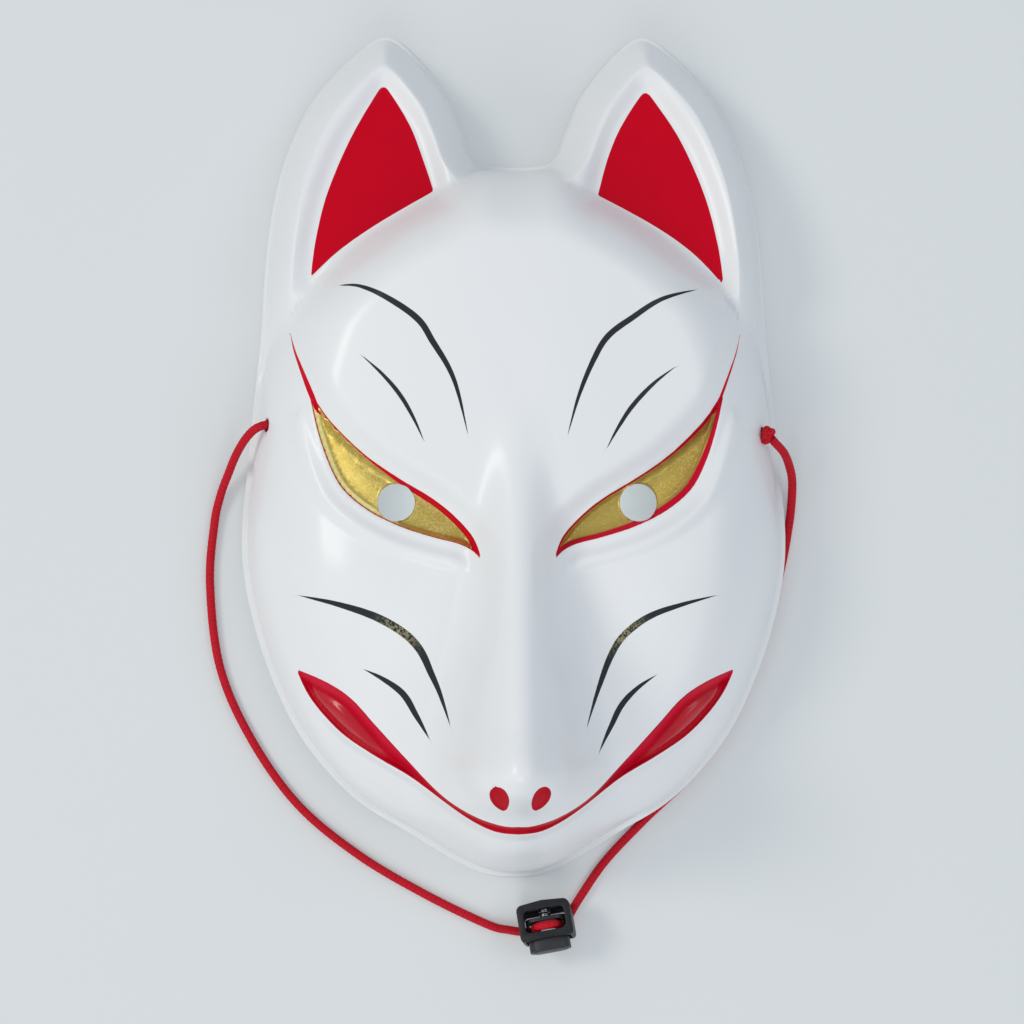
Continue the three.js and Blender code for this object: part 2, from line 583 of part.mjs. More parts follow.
const mask = new THREE.Group();
named('mask_shell', maskShell(), WHITE, mask);
named('cord_left_run', cordTube(LEFT_ROUTE, CORD.leftSteps), RED, mask);
named('cord_right_run', cordTube(RIGHT_ROUTE, CORD.rightSteps), RED, mask);
named('cord_knot_left', leftKnot(), RED, mask);
named('cord_knot_right', rightKnot(), RED, mask);
named('cord_lock_loop', cordTube(loopRoute(), CORD.loopSteps), RED, mask);
named('lock_barrel', lockBarrel(), BLACK, lockFrame);
named('lock_plunger', lockPlunger(), BLACK, lockFrame);
named('lock_spring', lockSpring(), STEEL, lockFrame);
mask.add(lockFrame);

export default mask;
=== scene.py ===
"""A Japanese fox mask lying face up, with its elastic and spring cord lock: fine surfaces and finishes."""

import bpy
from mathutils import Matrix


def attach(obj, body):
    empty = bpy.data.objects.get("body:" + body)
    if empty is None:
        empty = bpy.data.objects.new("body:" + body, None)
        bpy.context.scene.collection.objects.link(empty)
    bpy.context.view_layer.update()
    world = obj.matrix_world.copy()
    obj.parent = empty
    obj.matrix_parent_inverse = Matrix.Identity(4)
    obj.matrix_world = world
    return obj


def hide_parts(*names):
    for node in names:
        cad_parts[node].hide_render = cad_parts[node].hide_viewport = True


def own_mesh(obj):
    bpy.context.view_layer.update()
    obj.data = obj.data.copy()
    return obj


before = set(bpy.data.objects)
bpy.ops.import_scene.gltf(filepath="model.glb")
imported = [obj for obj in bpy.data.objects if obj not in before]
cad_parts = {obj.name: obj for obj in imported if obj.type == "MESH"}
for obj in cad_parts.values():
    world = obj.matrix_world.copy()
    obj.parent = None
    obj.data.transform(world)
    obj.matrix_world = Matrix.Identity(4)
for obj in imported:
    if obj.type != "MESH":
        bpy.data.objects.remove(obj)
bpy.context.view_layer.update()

import logging
import math
from dataclasses import dataclass, field
from enum import Enum
from typing import Any, Optional, Sequence, Union

import bmesh
import bpy
import numpy as np
from mathutils import Euler, Matrix, Vector

LOG = logging.getLogger("fox_mask")
MM = 0.001
CHUNK = 16384
Array = np.ndarray
Pairs = Sequence[tuple[float, float]]
Triple = tuple[float, float, float]
Sizes = tuple[float, ...]


# Curves, distances and profiles, worked out on whole arrays

def smooth(u: Array) -> Array:
    """A step from 0 to 1 with level ends: u squared times three minus two u, u held between 0 and 1."""
    v = np.clip(u, 0.0, 1.0)
    return v * v * (3.0 - 2.0 * v)


def catmull(points: Array, per_span: int, closed: bool) -> Array:
    """Carry a smooth line through points.

    Each span is the uniform Catmull-Rom cubic: the curve leaves a point along the line between its neighbours.

    Args:
        points: the points, one a row.
        per_span: samples in each span.
        closed: whether the line returns to its first point.

    Returns:
        The samples, one a row; an open line keeps its last point.
    """
    count = len(points)
    index = np.arange(count if closed else count - 1)
    near = [index + k for k in (-1, 0, 1, 2)]
    near = [k % count if closed else np.clip(k, 0, count - 1) for k in near]
    a, b, c, d = (points[k][:, None, :] for k in near)
    t = (np.arange(per_span) / per_span)[None, :, None]
    line = 0.5 * (2 * b + (c - a) * t + (2 * a - 5 * b + 4 * c - d) * t**2 + (3 * b - a - 3 * c + d) * t**3)
    line = line.reshape(-1, points.shape[1])
    return line if closed else np.vstack([line, points[-1:]])


def drawn(points: Pairs, per_span: int = 5) -> Array:
    """An open smooth line through points."""
    return catmull(np.array(points), per_span, False)


def mirrored(half: Pairs, per_span: int) -> Array:
    """A closed smooth line through a half outline, which has its ends on the midline, and its mirror image."""
    whole = list(half) + [(-x, y) for x, y in list(half)[-2:0:-1]]
    return catmull(np.array(whole, float), per_span, True)


def line_distance(x: Array, y: Array, line: Array) -> tuple[Array, Array]:
    """Measure points against an open line.

    For each point the nearest spot of every segment is found by projection, and the closest one counts.

    Args:
        x: the points' X, flat.
        y: the points' Y, flat.
        line: the line's points, one a row.

    Returns:
        The distance with its side (positive on the line's left), and how far along the line, from 0 to 1.
    """
    start, run = line[:-1], np.diff(line, axis=0)
    length = np.hypot(run[:, 0], run[:, 1])
    before = np.concatenate([[0.0], np.cumsum(length)])
    across, far = np.empty(len(x)), np.empty(len(x))
    for low in range(0, len(x), CHUNK):
        part = slice(low, low + CHUNK)
        dx, dy = x[part, None] - start[None, :, 0], y[part, None] - start[None, :, 1]
        t = np.clip((dx * run[:, 0] + dy * run[:, 1]) / length**2, 0.0, 1.0)
        gap = np.hypot(dx - t * run[:, 0], dy - t * run[:, 1])
        best = gap.argmin(axis=1)
        row = np.arange(len(best))
        side = np.sign(run[best, 0] * dy[row, best] - run[best, 1] * dx[row, best])
        across[part] = gap[row, best] * np.where(side == 0, 1, side)
        far[part] = (before[best] + t[row, best] * length[best]) / before[-1]
    return across, far


def off(x: Array, y: Array, line: Array) -> Array:
    """Distance from an open line."""
    return np.abs(line_distance(x, y, line)[0])


def inside(x: Array, y: Array, line: Array) -> Array:
    """Distance to a closed line, positive inside it, where a ray to the right crosses it an odd number of
    times."""
    ring = np.vstack([line, line[:1]])
    (ax, ay), (bx, by) = ring[:-1].T, ring[1:].T
    gap, odd = off(x, y, ring), np.zeros(len(x), bool)
    for low in range(0, len(x), CHUNK):
        part = slice(low, low + CHUNK)
        py = y[part, None]
        with np.errstate(divide="ignore", invalid="ignore"):
            cut = (bx - ax) * (py - ay) / (by - ay) + ax
        crossing = ((ay > py) != (by > py)) & (x[part, None] < cut)
        odd[part] = crossing.sum(axis=1) % 2 == 1
    return np.where(odd, gap, -gap)


def through(y: Array, rows: Sequence[tuple[float, ...]], column: int) -> Array:
    """A smooth value through stations: a cubic Hermite, its slope at a station that of its two neighbours."""
    table = np.array(rows, float)
    at, value = table[:, 0], table[:, column]
    index = np.arange(len(at))
    low, high = np.maximum(index - 1, 0), np.minimum(index + 1, len(at) - 1)
    slope = (value[high] - value[low]) / (at[high] - at[low])
    i = np.clip(np.searchsorted(at, y, side="right") - 1, 0, len(at) - 2)
    run = at[i + 1] - at[i]
    t = np.clip((y - at[i]) / run, 0.0, 1.0)
    return ((2 * t**3 - 3 * t**2 + 1) * value[i] + (t**3 - 2 * t**2 + t) * run * slope[i]
            + (3 * t**2 - 2 * t**3) * value[i + 1] + (t**3 - t**2) * run * slope[i + 1])


def rolled(gap: Array, radius: float, power: float, root: Union[float, Array]) -> Array:
    """A rolled edge: from 0 at the edge to 1 a radius inside it, steep first and level at the end."""
    return (1.0 - (1.0 - np.clip(gap / radius, 0.0, 1.0)) ** power) ** root


def soft_max(a: Array, b: Array, width: Union[float, Array]) -> Array:
    """The larger of two heights, with the crease between them filled to a width."""
    h = np.maximum(width - np.abs(a - b), 0.0) / width
    return np.maximum(a, b) + h * h * width / 4.0


# The face: sizes in millimetres, as the solid has them

OUTLINE: Pairs = (
    (0, -125), (9.5, -123.8), (18.5, -119.6), (30, -112.6), (45.5, -102.7), (56, -92.5), (64.5, -81),
    (71.5, -66.5), (77, -50), (80.2, -34), (80.6, -20), (79.4, -4.8), (77.6, 14), (75.4, 35), (73.7, 60),
    (70.9, 78.5), (66.2, 93.5), (59, 107.3), (47, 119.9), (38.3, 125), (30.3, 120.1), (20.4, 108),
    (15.6, 97.5), (11.2, 88), (0, 86.2))
FOREHEAD: Pairs = OUTLINE[:13] + (
    (74, 32), (68.5, 47), (61, 57.5), (51, 67), (38, 76), (24, 83), (11.2, 86.8), (0, 86.2))
PANEL: Pairs = ((38.3, 106.8), (30.7, 96.2), (27, 86.4), (24.2, 75.8), (40.2, 67.6), (51.5, 59.6), (59.8, 51.8),
                (58.2, 63), (55, 76.3), (48.6, 92))
PAINTED_PANELS: tuple[Pairs, Pairs] = (
    ((23.9, 77.2), (40.2, 67.6), (51.5, 59.6), (59.7, 52.0), (58.2, 63), (55, 76.3), (48.6, 92), (41.4, 105.0),
     (38.7, 108.2), (36.2, 105.8), (30.7, 96.4), (27, 86.6)),
    ((24, 76), (40.2, 67.2), (51.5, 59.2), (60.9, 49.8), (58.8, 62.5), (55.2, 76.3), (48.6, 92), (41.4, 103.4),
     (38.4, 106.7), (35.6, 104), (30.4, 95.4), (26.8, 86.4)))
BROW: Pairs = (
    (0, -101), (14, -98), (19, -88), (17, -75), (14, -60), (11.5, -45), (10.2, -30.3), (12.6, -23.8),
    (18, -17.6), (24.5, -12.4), (33, -7.3), (41, -2), (47, 3), (53.8, 10), (59.5, 18.5), (65.7, 34.7), (72, 46),
    (66, 66), (40, 84), (0, 92))
EYE_TOP: Pairs = ((10.2, -30.3), (12.6, -23.8), (18, -17.6), (24.5, -12.4), (33, -7.3), (41, -2), (47, 3),
                  (53.8, 10), (58.3, 16.5), (60.2, 20))
EYE_FOOT: Pairs = ((10.2, -30.3), (12.8, -27.5), (17, -25.4), (24, -23.6), (33.6, -20.5), (42.6, -16),
                   (49.8, -10), (54, -2.5), (57.4, 7.5), (60.2, 20))
TAIL: Pairs = ((57.5, 13.5), (60.2, 20), (62.6, 26), (64.5, 31), (65.8, 36.2))
MOUTH_TOP: Pairs = ((64, -62.1), (55, -65.5), (47.8, -70), (41, -77.4), (33.3, -85.9), (25.3, -94.3),
                    (18.8, -99.4), (11.1, -103.5), (4, -105.4), (0, -105.5))
MOUTH_FOOT: Pairs = ((64, -62.1), (60.8, -69), (56, -75.3), (49.5, -81.5), (40.5, -87.2), (32, -92),
                     (24, -97.3), (15, -103.2), (7, -106.8), (0, -107.6))
RIDGE = ((-125, 18, 36), (-116, 20, 35.5), (-108, 20, 35), (-103, 24, 34), (-98, 34, 33), (-93, 41, 31.5),
         (-88, 43.5, 30.5), (-75, 36, 27), (-55, 25, 22), (-30, 13, 17), (-5, 4, 12), (15, 0, 10), (40, 0, 10),
         (125, 0, 10))


@dataclass(frozen=True)
class Face:
    """The outside of the mask as a height over the plane of its rim, in millimetres.

    The members of each set of sizes are named where a method takes them apart.
    """

    edge: float = 1.2
    wall: float = 2.0
    lip: float = 1.6
    dome: Sizes = (46.0, 80.0, 110.0, 15.0, 0.38, 0.22)
    roll: Sizes = (24.0, 2.2, 0.625, 0.3, 3.0)
    ear: Sizes = (27.0, 10.0, 60.0, 12.0, 50.0, 75.0, 1.5)
    ear_wall: Sizes = (8.5, 1.3, 3.3, 7.0)
    over_ear: Sizes = (38.0, 24.0, 12.0, 12.0)
    crease: Sizes = (3.0, 4.0)
    plate: Sizes = (4.0, 7.0)
    cheek: Sizes = (47.0, -37.0, 21.0, 5.0)
    lid: Sizes = (1.6, 1.5, 9.0, 12.0, 10.0, 10.0, 2.0)
    jaw: Sizes = (2.4, 3.0, 62.0, 14.0, 8.0)
    arch: Sizes = (3.9, -6.0, -25.0, -104.0, -113.0, 14.0)
    eye: Sizes = (3.0, 1.7, 0.4, 8.0)
    mouth: Sizes = (2.2, 1.5, 1.1, 22.0, 14.0, 0.01)
    pad: Sizes = (2.1, 2.8, 2.9, 0.6, 2.2, 28.0, 12.0)
    nostril: Sizes = (5.6, -96.0, 2.5, 4.2, 0.36, 0.7)
    dent: Sizes = (1.4, 1.1)
    groove: Sizes = (0.25, 2.3, 0.45, 60.0, 30.0)
    backing: Sizes = (11.0, 3.8, 3.0)
    rim_line: Array = field(default_factory=lambda: mirrored(OUTLINE, 8))
    forehead_line: Array = field(default_factory=lambda: mirrored(FOREHEAD, 6))
    brow_line: Array = field(default_factory=lambda: mirrored(BROW, 4))
    eye_top: Array = field(default_factory=lambda: drawn(EYE_TOP, 6))
    eye_foot: Array = field(default_factory=lambda: drawn(EYE_FOOT, 6))
    mouth_top: Array = field(default_factory=lambda: drawn(MOUTH_TOP))
    mouth_foot: Array = field(default_factory=lambda: drawn(MOUTH_FOOT))

    def in_eye(self, x: Array, y: Array) -> Array:
        """Distance into the nearer eye, whose closed line is its upper edge and its lower one back."""
        return inside(np.abs(x), y, np.vstack([self.eye_top, self.eye_foot[-2:0:-1]]))

    def in_mouth(self, x: Array, y: Array) -> Array:
        """Distance into the mouth, whose closed line is both edges and their mirror images."""
        top, foot, flip = self.mouth_top, self.mouth_foot, np.array([-1.0, 1.0])
        return inside(x, y, np.vstack([top[::-1], foot[1:], (foot * flip)[-2::-1], (top * flip)[1:-1]]))

    def panel(self, points: Pairs, *corners: int) -> Array:
        """An ear's panel on the viewer's right: smooth between its corners, which stay sharp."""
        ring = tuple(points) + tuple(points[:1])
        ends = (0, *corners, len(points))
        return np.vstack([drawn(ring[a:b + 1], 6)[:-1] for a, b in zip(ends, ends[1:])])

    def rise(self, y: Array) -> Array:
        """How far the rim arches up under the cheeks: up and down again in two smooth steps along Y."""
        height, high, full_high, full_low, low, _ = self.arch
        return height * smooth((high - y) / (high - full_high)) * smooth((y - low) / (full_low - low))

    def jaw_drop(self, x: Array, y: Array, rim: Array) -> Array:
        """How far the jaw lies under the upper lip: a smooth step below the mouth's lower edge."""
        drop, bevel, corner, fade, near_rim = self.jaw
        line = np.interp(np.abs(x), *self.mouth_foot[::-1].T)
        step = smooth((line - y) / bevel) * smooth((corner - np.abs(x)) / fade) * smooth(rim / near_rim)
        return drop * step

    def coarse(self, x: Array, y: Array) -> Array:
        """The face without its cut pockets: a dome with a snout, cheeks and a brow plate, rolled to its rim,
        joined softly to the ears, whose middles are sunk.

        Args:
            x: the points' X, flat.
            y: the points' Y, flat.

        Returns:
            The height of each point.
        """
        ax = np.abs(x)
        rim = np.maximum(inside(x, y, self.rim_line), 0.0)
        edge = inside(x, y, self.forehead_line)
        height, half_width, half_length, middle, across, along = self.dome
        dome = height * (1 - across * (x / half_width) ** 2 - along * ((y - middle) / half_length) ** 2)
        ridge = through(y, RIDGE, 1) * 0.5 * (1 + np.cos(np.pi * np.minimum(ax / through(y, RIDGE, 2), 1)))
        cx, cy, reach, rise = self.cheek
        cheek = rise * np.exp(-((ax - cx) ** 2 + (y - cy) ** 2) / reach**2)
        brow = inside(x, y, self.brow_line)
        rise, bevel = self.plate
        plate = rise * smooth(brow / bevel)
        swell, near, far, high, start, run, fade = self.lid
        lid = swell * np.sin(np.pi * smooth((-self.in_eye(x, y) - near) / (far - near)))
        lid = np.where(y < high, lid * smooth((ax - start) / run) * (1 - smooth(brow / fade)), 0.0)
        low, run, start, width = self.over_ear
        over_ear = smooth((y - low) / run) * smooth((ax - start) / width)
        radius, power, root, softer, slope = self.roll
        roll = rolled(edge - self.lip, radius, power, root + softer * over_ear)
        head = np.where(edge > 0, (dome + ridge + cheek + plate + lid) * roll, slope * edge)
        crest, low, high, fall, start, run, bend = self.ear
        top = crest * smooth((y - low) / (high - low)) - fall * np.maximum((y - start) / run, 0.0) ** bend
        radius, power, sink, bevel = self.ear_wall
        sunk = sink * smooth((inside(ax, y, self.panel(PANEL, 3, 6)) + bevel) / bevel)
        ear = top * rolled(rim - self.lip / 2, radius, power, 1.0) - sunk
        up = self.rise(y) * (1 - smooth(rim / self.arch[-1]))
        crease, wider = self.crease
        return self.edge + up + soft_max(head, ear, crease + wider * over_ear) - self.jaw_drop(x, y, rim)

    def nostril_in(self, x: Array, y: Array) -> Array:
        """Distance into a nostril in millimetres, a leaning teardrop that narrows downwards.

        With w from -1 at its foot to 1 at its top, its half-width goes as a power of 1 + w times the root of
        1 - w.
        """
        cx, cy, half, long, lean, power = self.nostril
        dx, dy = np.abs(x) - cx, y - cy
        u = dy * math.cos(lean) + dx * math.sin(lean)
        v = dx * math.cos(lean) - dy * math.sin(lean)
        w = np.clip(u / long, -1.0, 1.0)
        return half * (1.0 + w) ** power * np.sqrt(1.0 - w) - np.abs(v) - np.maximum(np.abs(u) - long, 0.0)

    def cushion(self, x: Array, y: Array) -> Array:
        """The raised cushion in each corner of the mouth, from 0 to 1: a wide smooth step away from the upper
        edge times a narrow one away from the lower edge."""
        ax = np.abs(x)
        _, upper, upper_run, lower, lower_run, start, run = self.pad
        return (smooth(self.in_mouth(x, y)) * smooth((off(ax, y, self.mouth_top) - upper) / upper_run)
                * smooth((off(ax, y, self.mouth_foot) - lower) / lower_run) * smooth((ax - start) / run))

    def fine(self, x: Array, y: Array) -> Array:
        """The face with its carving: recessed eyes, a recessed mouth with a cushion in each corner, dented
        nostrils, and the groove inside the rim's lip.

        Args:
            x: the points' X, flat.
            y: the points' Y, flat.

        Returns:
            The height of each point.
        """
        ax = np.abs(x)
        depth, wall, crown, half = self.eye
        floor = depth + crown * ((off(ax, y, self.eye_top) - off(ax, y, self.eye_foot)) / half) ** 2
        height = self.coarse(x, y) - floor * smooth(self.in_eye(x, y) / wall)
        depth, wall, wider, start, run, nearer = self.mouth
        mouth, upper = self.in_mouth(x, y), off(ax, y, self.mouth_top)
        wall = np.where(upper > mouth + nearer, wall, wall + wider * smooth((ax - start) / run))
        height = height - depth * smooth(mouth / wall) + self.pad[0] * self.cushion(x, y)
        depth, wall = self.dent
        height = height - depth * smooth(self.nostril_in(x, y) / wall)
        depth, middle, width, low, fade = self.groove
        groove = np.exp(-((inside(x, y, self.rim_line) - middle) / width) ** 2) * (1 - smooth((y - low) / fade))
        return height - depth * groove

    def lining(self, x: Array, y: Array) -> Array:
        """The inside of the shell: the lowest face that a ball one wall in radius touches, and deeper behind
        the eyes, the mouth and the nostrils, so that the carved pockets keep their backs."""
        reach, depth, nostril = self.backing
        pocket = np.maximum(self.in_eye(x, y), self.in_mouth(x, y))
        pocket = np.maximum(pocket, nostril - np.hypot(np.abs(x) - self.nostril[0], y - self.nostril[1]))
        low = self.coarse(x, y) - self.wall
        for turn in np.arange(8) * np.pi / 4:
            low = np.minimum(low, self.coarse(x + self.wall * np.cos(turn), y + self.wall * np.sin(turn)))
        return low - depth * smooth((pocket + reach) / reach)


# Meshes

def linked(name: str, data: Any) -> Any:
    """Put a mesh, a lamp or a camera into the scene as an object."""
    piece = bpy.data.objects.new(name, data)
    bpy.context.scene.collection.objects.link(piece)
    return piece


def new_object(name: str, points: Array, faces: list[list[int]]) -> Any:
    """Put points and faces into a mesh object that lies at the origin.

    Args:
        name: the object's name.
        points: the vertices in millimetres, one a row.
        faces: the vertex numbers of each face.

    Returns:
        The object, with smooth faces.
    """
    mesh = bpy.data.meshes.new(name)
    mesh.from_pydata((points * MM).tolist(), [], faces)
    mesh.validate()
    mesh.shade_smooth()
    return linked(name, mesh)


def finished(piece: Any, finish: Any, body: str, slot: str, *nodes: str) -> None:
    """Give a piece its finish, and let it ride on a body and stand for its solids."""
    piece.data.materials.append(finish.material())
    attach(piece, body)
    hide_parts(*nodes)


def give(piece: Any, name: str, values: Array) -> None:
    """Store one number for each vertex of a piece, for its material to read."""
    attribute = piece.data.attributes.new(name, "FLOAT", "POINT")
    attribute.data.foreach_set("value", np.ascontiguousarray(values, np.float32))


def strip(a: Array, b: Array) -> Array:
    """Join two closed rings of vertex numbers with four-sided faces, ring b outside ring a."""
    return np.stack([a, b, np.roll(b, -1), np.roll(a, -1)], axis=1)


def travelled(line: Array) -> Array:
    """A line's length up to each of its points."""
    return np.concatenate([[0.0], np.cumsum(np.linalg.norm(np.diff(line, axis=0), axis=1))])


def tube(line: Array, radius: Union[float, Array], sides: int) -> Array:
    """Carry a round section along a line.

    The section's axes are turned from point to point by the least rotation: each is the last one with its
    part along the new direction taken off.

    Args:
        line: the path's points, one a row.
        radius: the section's radius, one number or one for each point and side.
        sides: the section's sides.

    Returns:
        The vertices, one a row.
    """
    ahead = np.gradient(line, axis=0)
    ahead /= np.linalg.norm(ahead, axis=1, keepdims=True)
    across = np.empty_like(line)
    last = np.cross([0.0, 0.0, 1.0], ahead[0])
    for k, direction in enumerate(ahead):
        last = last - direction * last.dot(direction)
        last = last / np.linalg.norm(last)
        across[k] = last
    up = np.cross(ahead, across)
    turn = 2 * np.pi * np.arange(sides) / sides
    size = np.broadcast_to(np.asarray(radius, float), (len(line), sides))[..., None]
    ring = np.cos(turn)[None, :, None] * across[:, None, :] + np.sin(turn)[None, :, None] * up[:, None, :]
    return (line[:, None, :] + size * ring).reshape(-1, 3)


def tube_faces(rings: int, sides: int) -> list[list[int]]:
    """Faces of a tube of rings, with one many-sided face on each end."""
    grid = np.arange(rings * sides).reshape(rings, sides)
    a, b = grid[:-1], grid[1:]
    quads = np.stack([a, np.roll(a, -1, 1), np.roll(b, -1, 1), b], axis=-1).reshape(-1, 4)
    return quads.tolist() + [grid[0][::-1].tolist(), grid[-1].tolist()]


def resampled(line: Array, step: float) -> Array:
    """Points a fixed step apart along a line, by straight interpolation over its length."""
    gone = travelled(line)
    at = np.linspace(0.0, gone[-1], max(int(gone[-1] / step), 2) + 1)
    return np.stack([np.interp(at, gone, line[:, k]) for k in range(3)], axis=1)


# Shader maths

Input = Union["Signal", float, Sequence[float]]


@dataclass
class Signal:
    """A node socket that can stand in a Python expression, which adds its Math nodes."""

    graph: "Graph"
    socket: Any

    def __add__(self, other: Input) -> "Signal":
        """Sum."""
        return self.graph.math("ADD", self, other)

    def __sub__(self, other: Input) -> "Signal":
        """Difference."""
        return self.graph.math("SUBTRACT", self, other)

    def __rsub__(self, other: Input) -> "Signal":
        """Difference with a number first."""
        return self.graph.math("SUBTRACT", other, self)

    def __mul__(self, other: Input) -> "Signal":
        """Product."""
        return self.graph.math("MULTIPLY", self, other)

    def __abs__(self) -> "Signal":
        """Size without sign."""
        return self.graph.math("ABSOLUTE", self)

    __radd__, __rmul__ = __add__, __mul__

    def most(self, *others: "Signal") -> "Signal":
        """The largest of some values."""
        top = self
        for other in others:
            top = self.graph.math("MAXIMUM", top, other)
        return top

    def ramp(self, low: float, high: float) -> "Signal":
        """A smooth step from 0 at low to 1 at high."""
        return self.graph.node("ShaderNodeMapRange", {"interpolation_type": "SMOOTHSTEP"}, {
            "Value": self, "From Min": low, "From Max": high})


class Graph:
    """The node tree of one material."""

    def __init__(self, name: str) -> None:
        """Make an empty material with its shader and output."""
        self.material = bpy.data.materials.new(name)
        self.material.use_nodes = True
        self.tree = self.material.node_tree
        self.tree.nodes.clear()
        self.shader = self.tree.nodes.new("ShaderNodeBsdfPrincipled")
        output = self.tree.nodes.new("ShaderNodeOutputMaterial")
        self.tree.links.new(self.shader.outputs[0], output.inputs["Surface"])

    def feed(self, socket: Any, value: Input) -> None:
        """Link a socket, or set it; a colour gets its fourth number."""
        if isinstance(value, Signal):
            self.tree.links.new(value.socket, socket)
        elif isinstance(value, tuple):
            socket.default_value = (*value, 1.0)[:len(socket.default_value)]
        else:
            socket.default_value = value

    def node(self, kind: str, settings: dict[str, Any], sockets: Optional[dict[Union[str, int], Input]] = None,
             output: Union[str, int] = 0) -> Signal:
        """Add a node.

        Args:
            kind: the node's type.
            settings: its properties.
            sockets: values or links for its inputs.
            output: which of its outputs to use.

        Returns:
            The chosen output.
        """
        node = self.tree.nodes.new(kind)
        for key, value in settings.items():
            setattr(node, key, value)
        for key, value in (sockets or {}).items():
            self.feed(node.inputs[key], value)
        return Signal(self, node.outputs[output])

    def math(self, operation: str, *values: Input) -> Signal:
        """Add a Math node."""
        return self.node("ShaderNodeMath", {"operation": operation}, dict(enumerate(values)))

    def attribute(self, name: str) -> Signal:
        """Read a number stored on the piece."""
        return self.node("ShaderNodeAttribute", {"attribute_name": name}, output="Fac")

    def place(self) -> Signal:
        """The point's own place in metres."""
        return self.node("ShaderNodeTexCoord", {}, output="Object")

    def across(self) -> Signal:
        """The point's X in millimetres."""
        return self.node("ShaderNodeSeparateXYZ", {}, {0: self.place()}, output="X") * 1000.0

    def blend(self, factor: Input, a: Input, b: Input) -> Signal:
        """Mix two colours: a where the factor is 0 and b where it is 1."""
        return self.node("ShaderNodeMix", {"data_type": "RGBA"}, {0: factor, 6: a, 7: b}, output=2)

    def noise(self, scale: float, detail: float = 2.0, roughness: float = 0.5) -> Signal:
        """Cloudy noise on the object's own coordinates."""
        return self.node("ShaderNodeTexNoise", {}, {
            "Vector": self.place(), "Scale": scale, "Detail": detail, "Roughness": roughness})

    def flecks(self, scale: float) -> Signal:
        """A random value for each cell of a pattern on the object's own coordinates."""
        cells = self.node("ShaderNodeTexVoronoi", {}, {"Vector": self.place(), "Scale": scale}, output="Color")
        return self.node("ShaderNodeSeparateColor", {}, {0: cells}, output="Red")

    def bump(self, height: Input, strength: float, distance: float, normal: Optional[Signal] = None) -> Signal:
        """Turn a height into a normal."""
        under = {} if normal is None else {"Normal": normal}
        return self.node("ShaderNodeBump", {}, {"Height": height, "Strength": strength, "Distance": distance,
                                                **under})

    def set(self, **sockets: Input) -> Any:
        """Feed the shader's sockets, whose names have _ for a space, and return the finished material."""
        for key, value in sockets.items():
            self.feed(self.shader.inputs[key.replace("_", " ")], value)
        return self.material


# Finishes

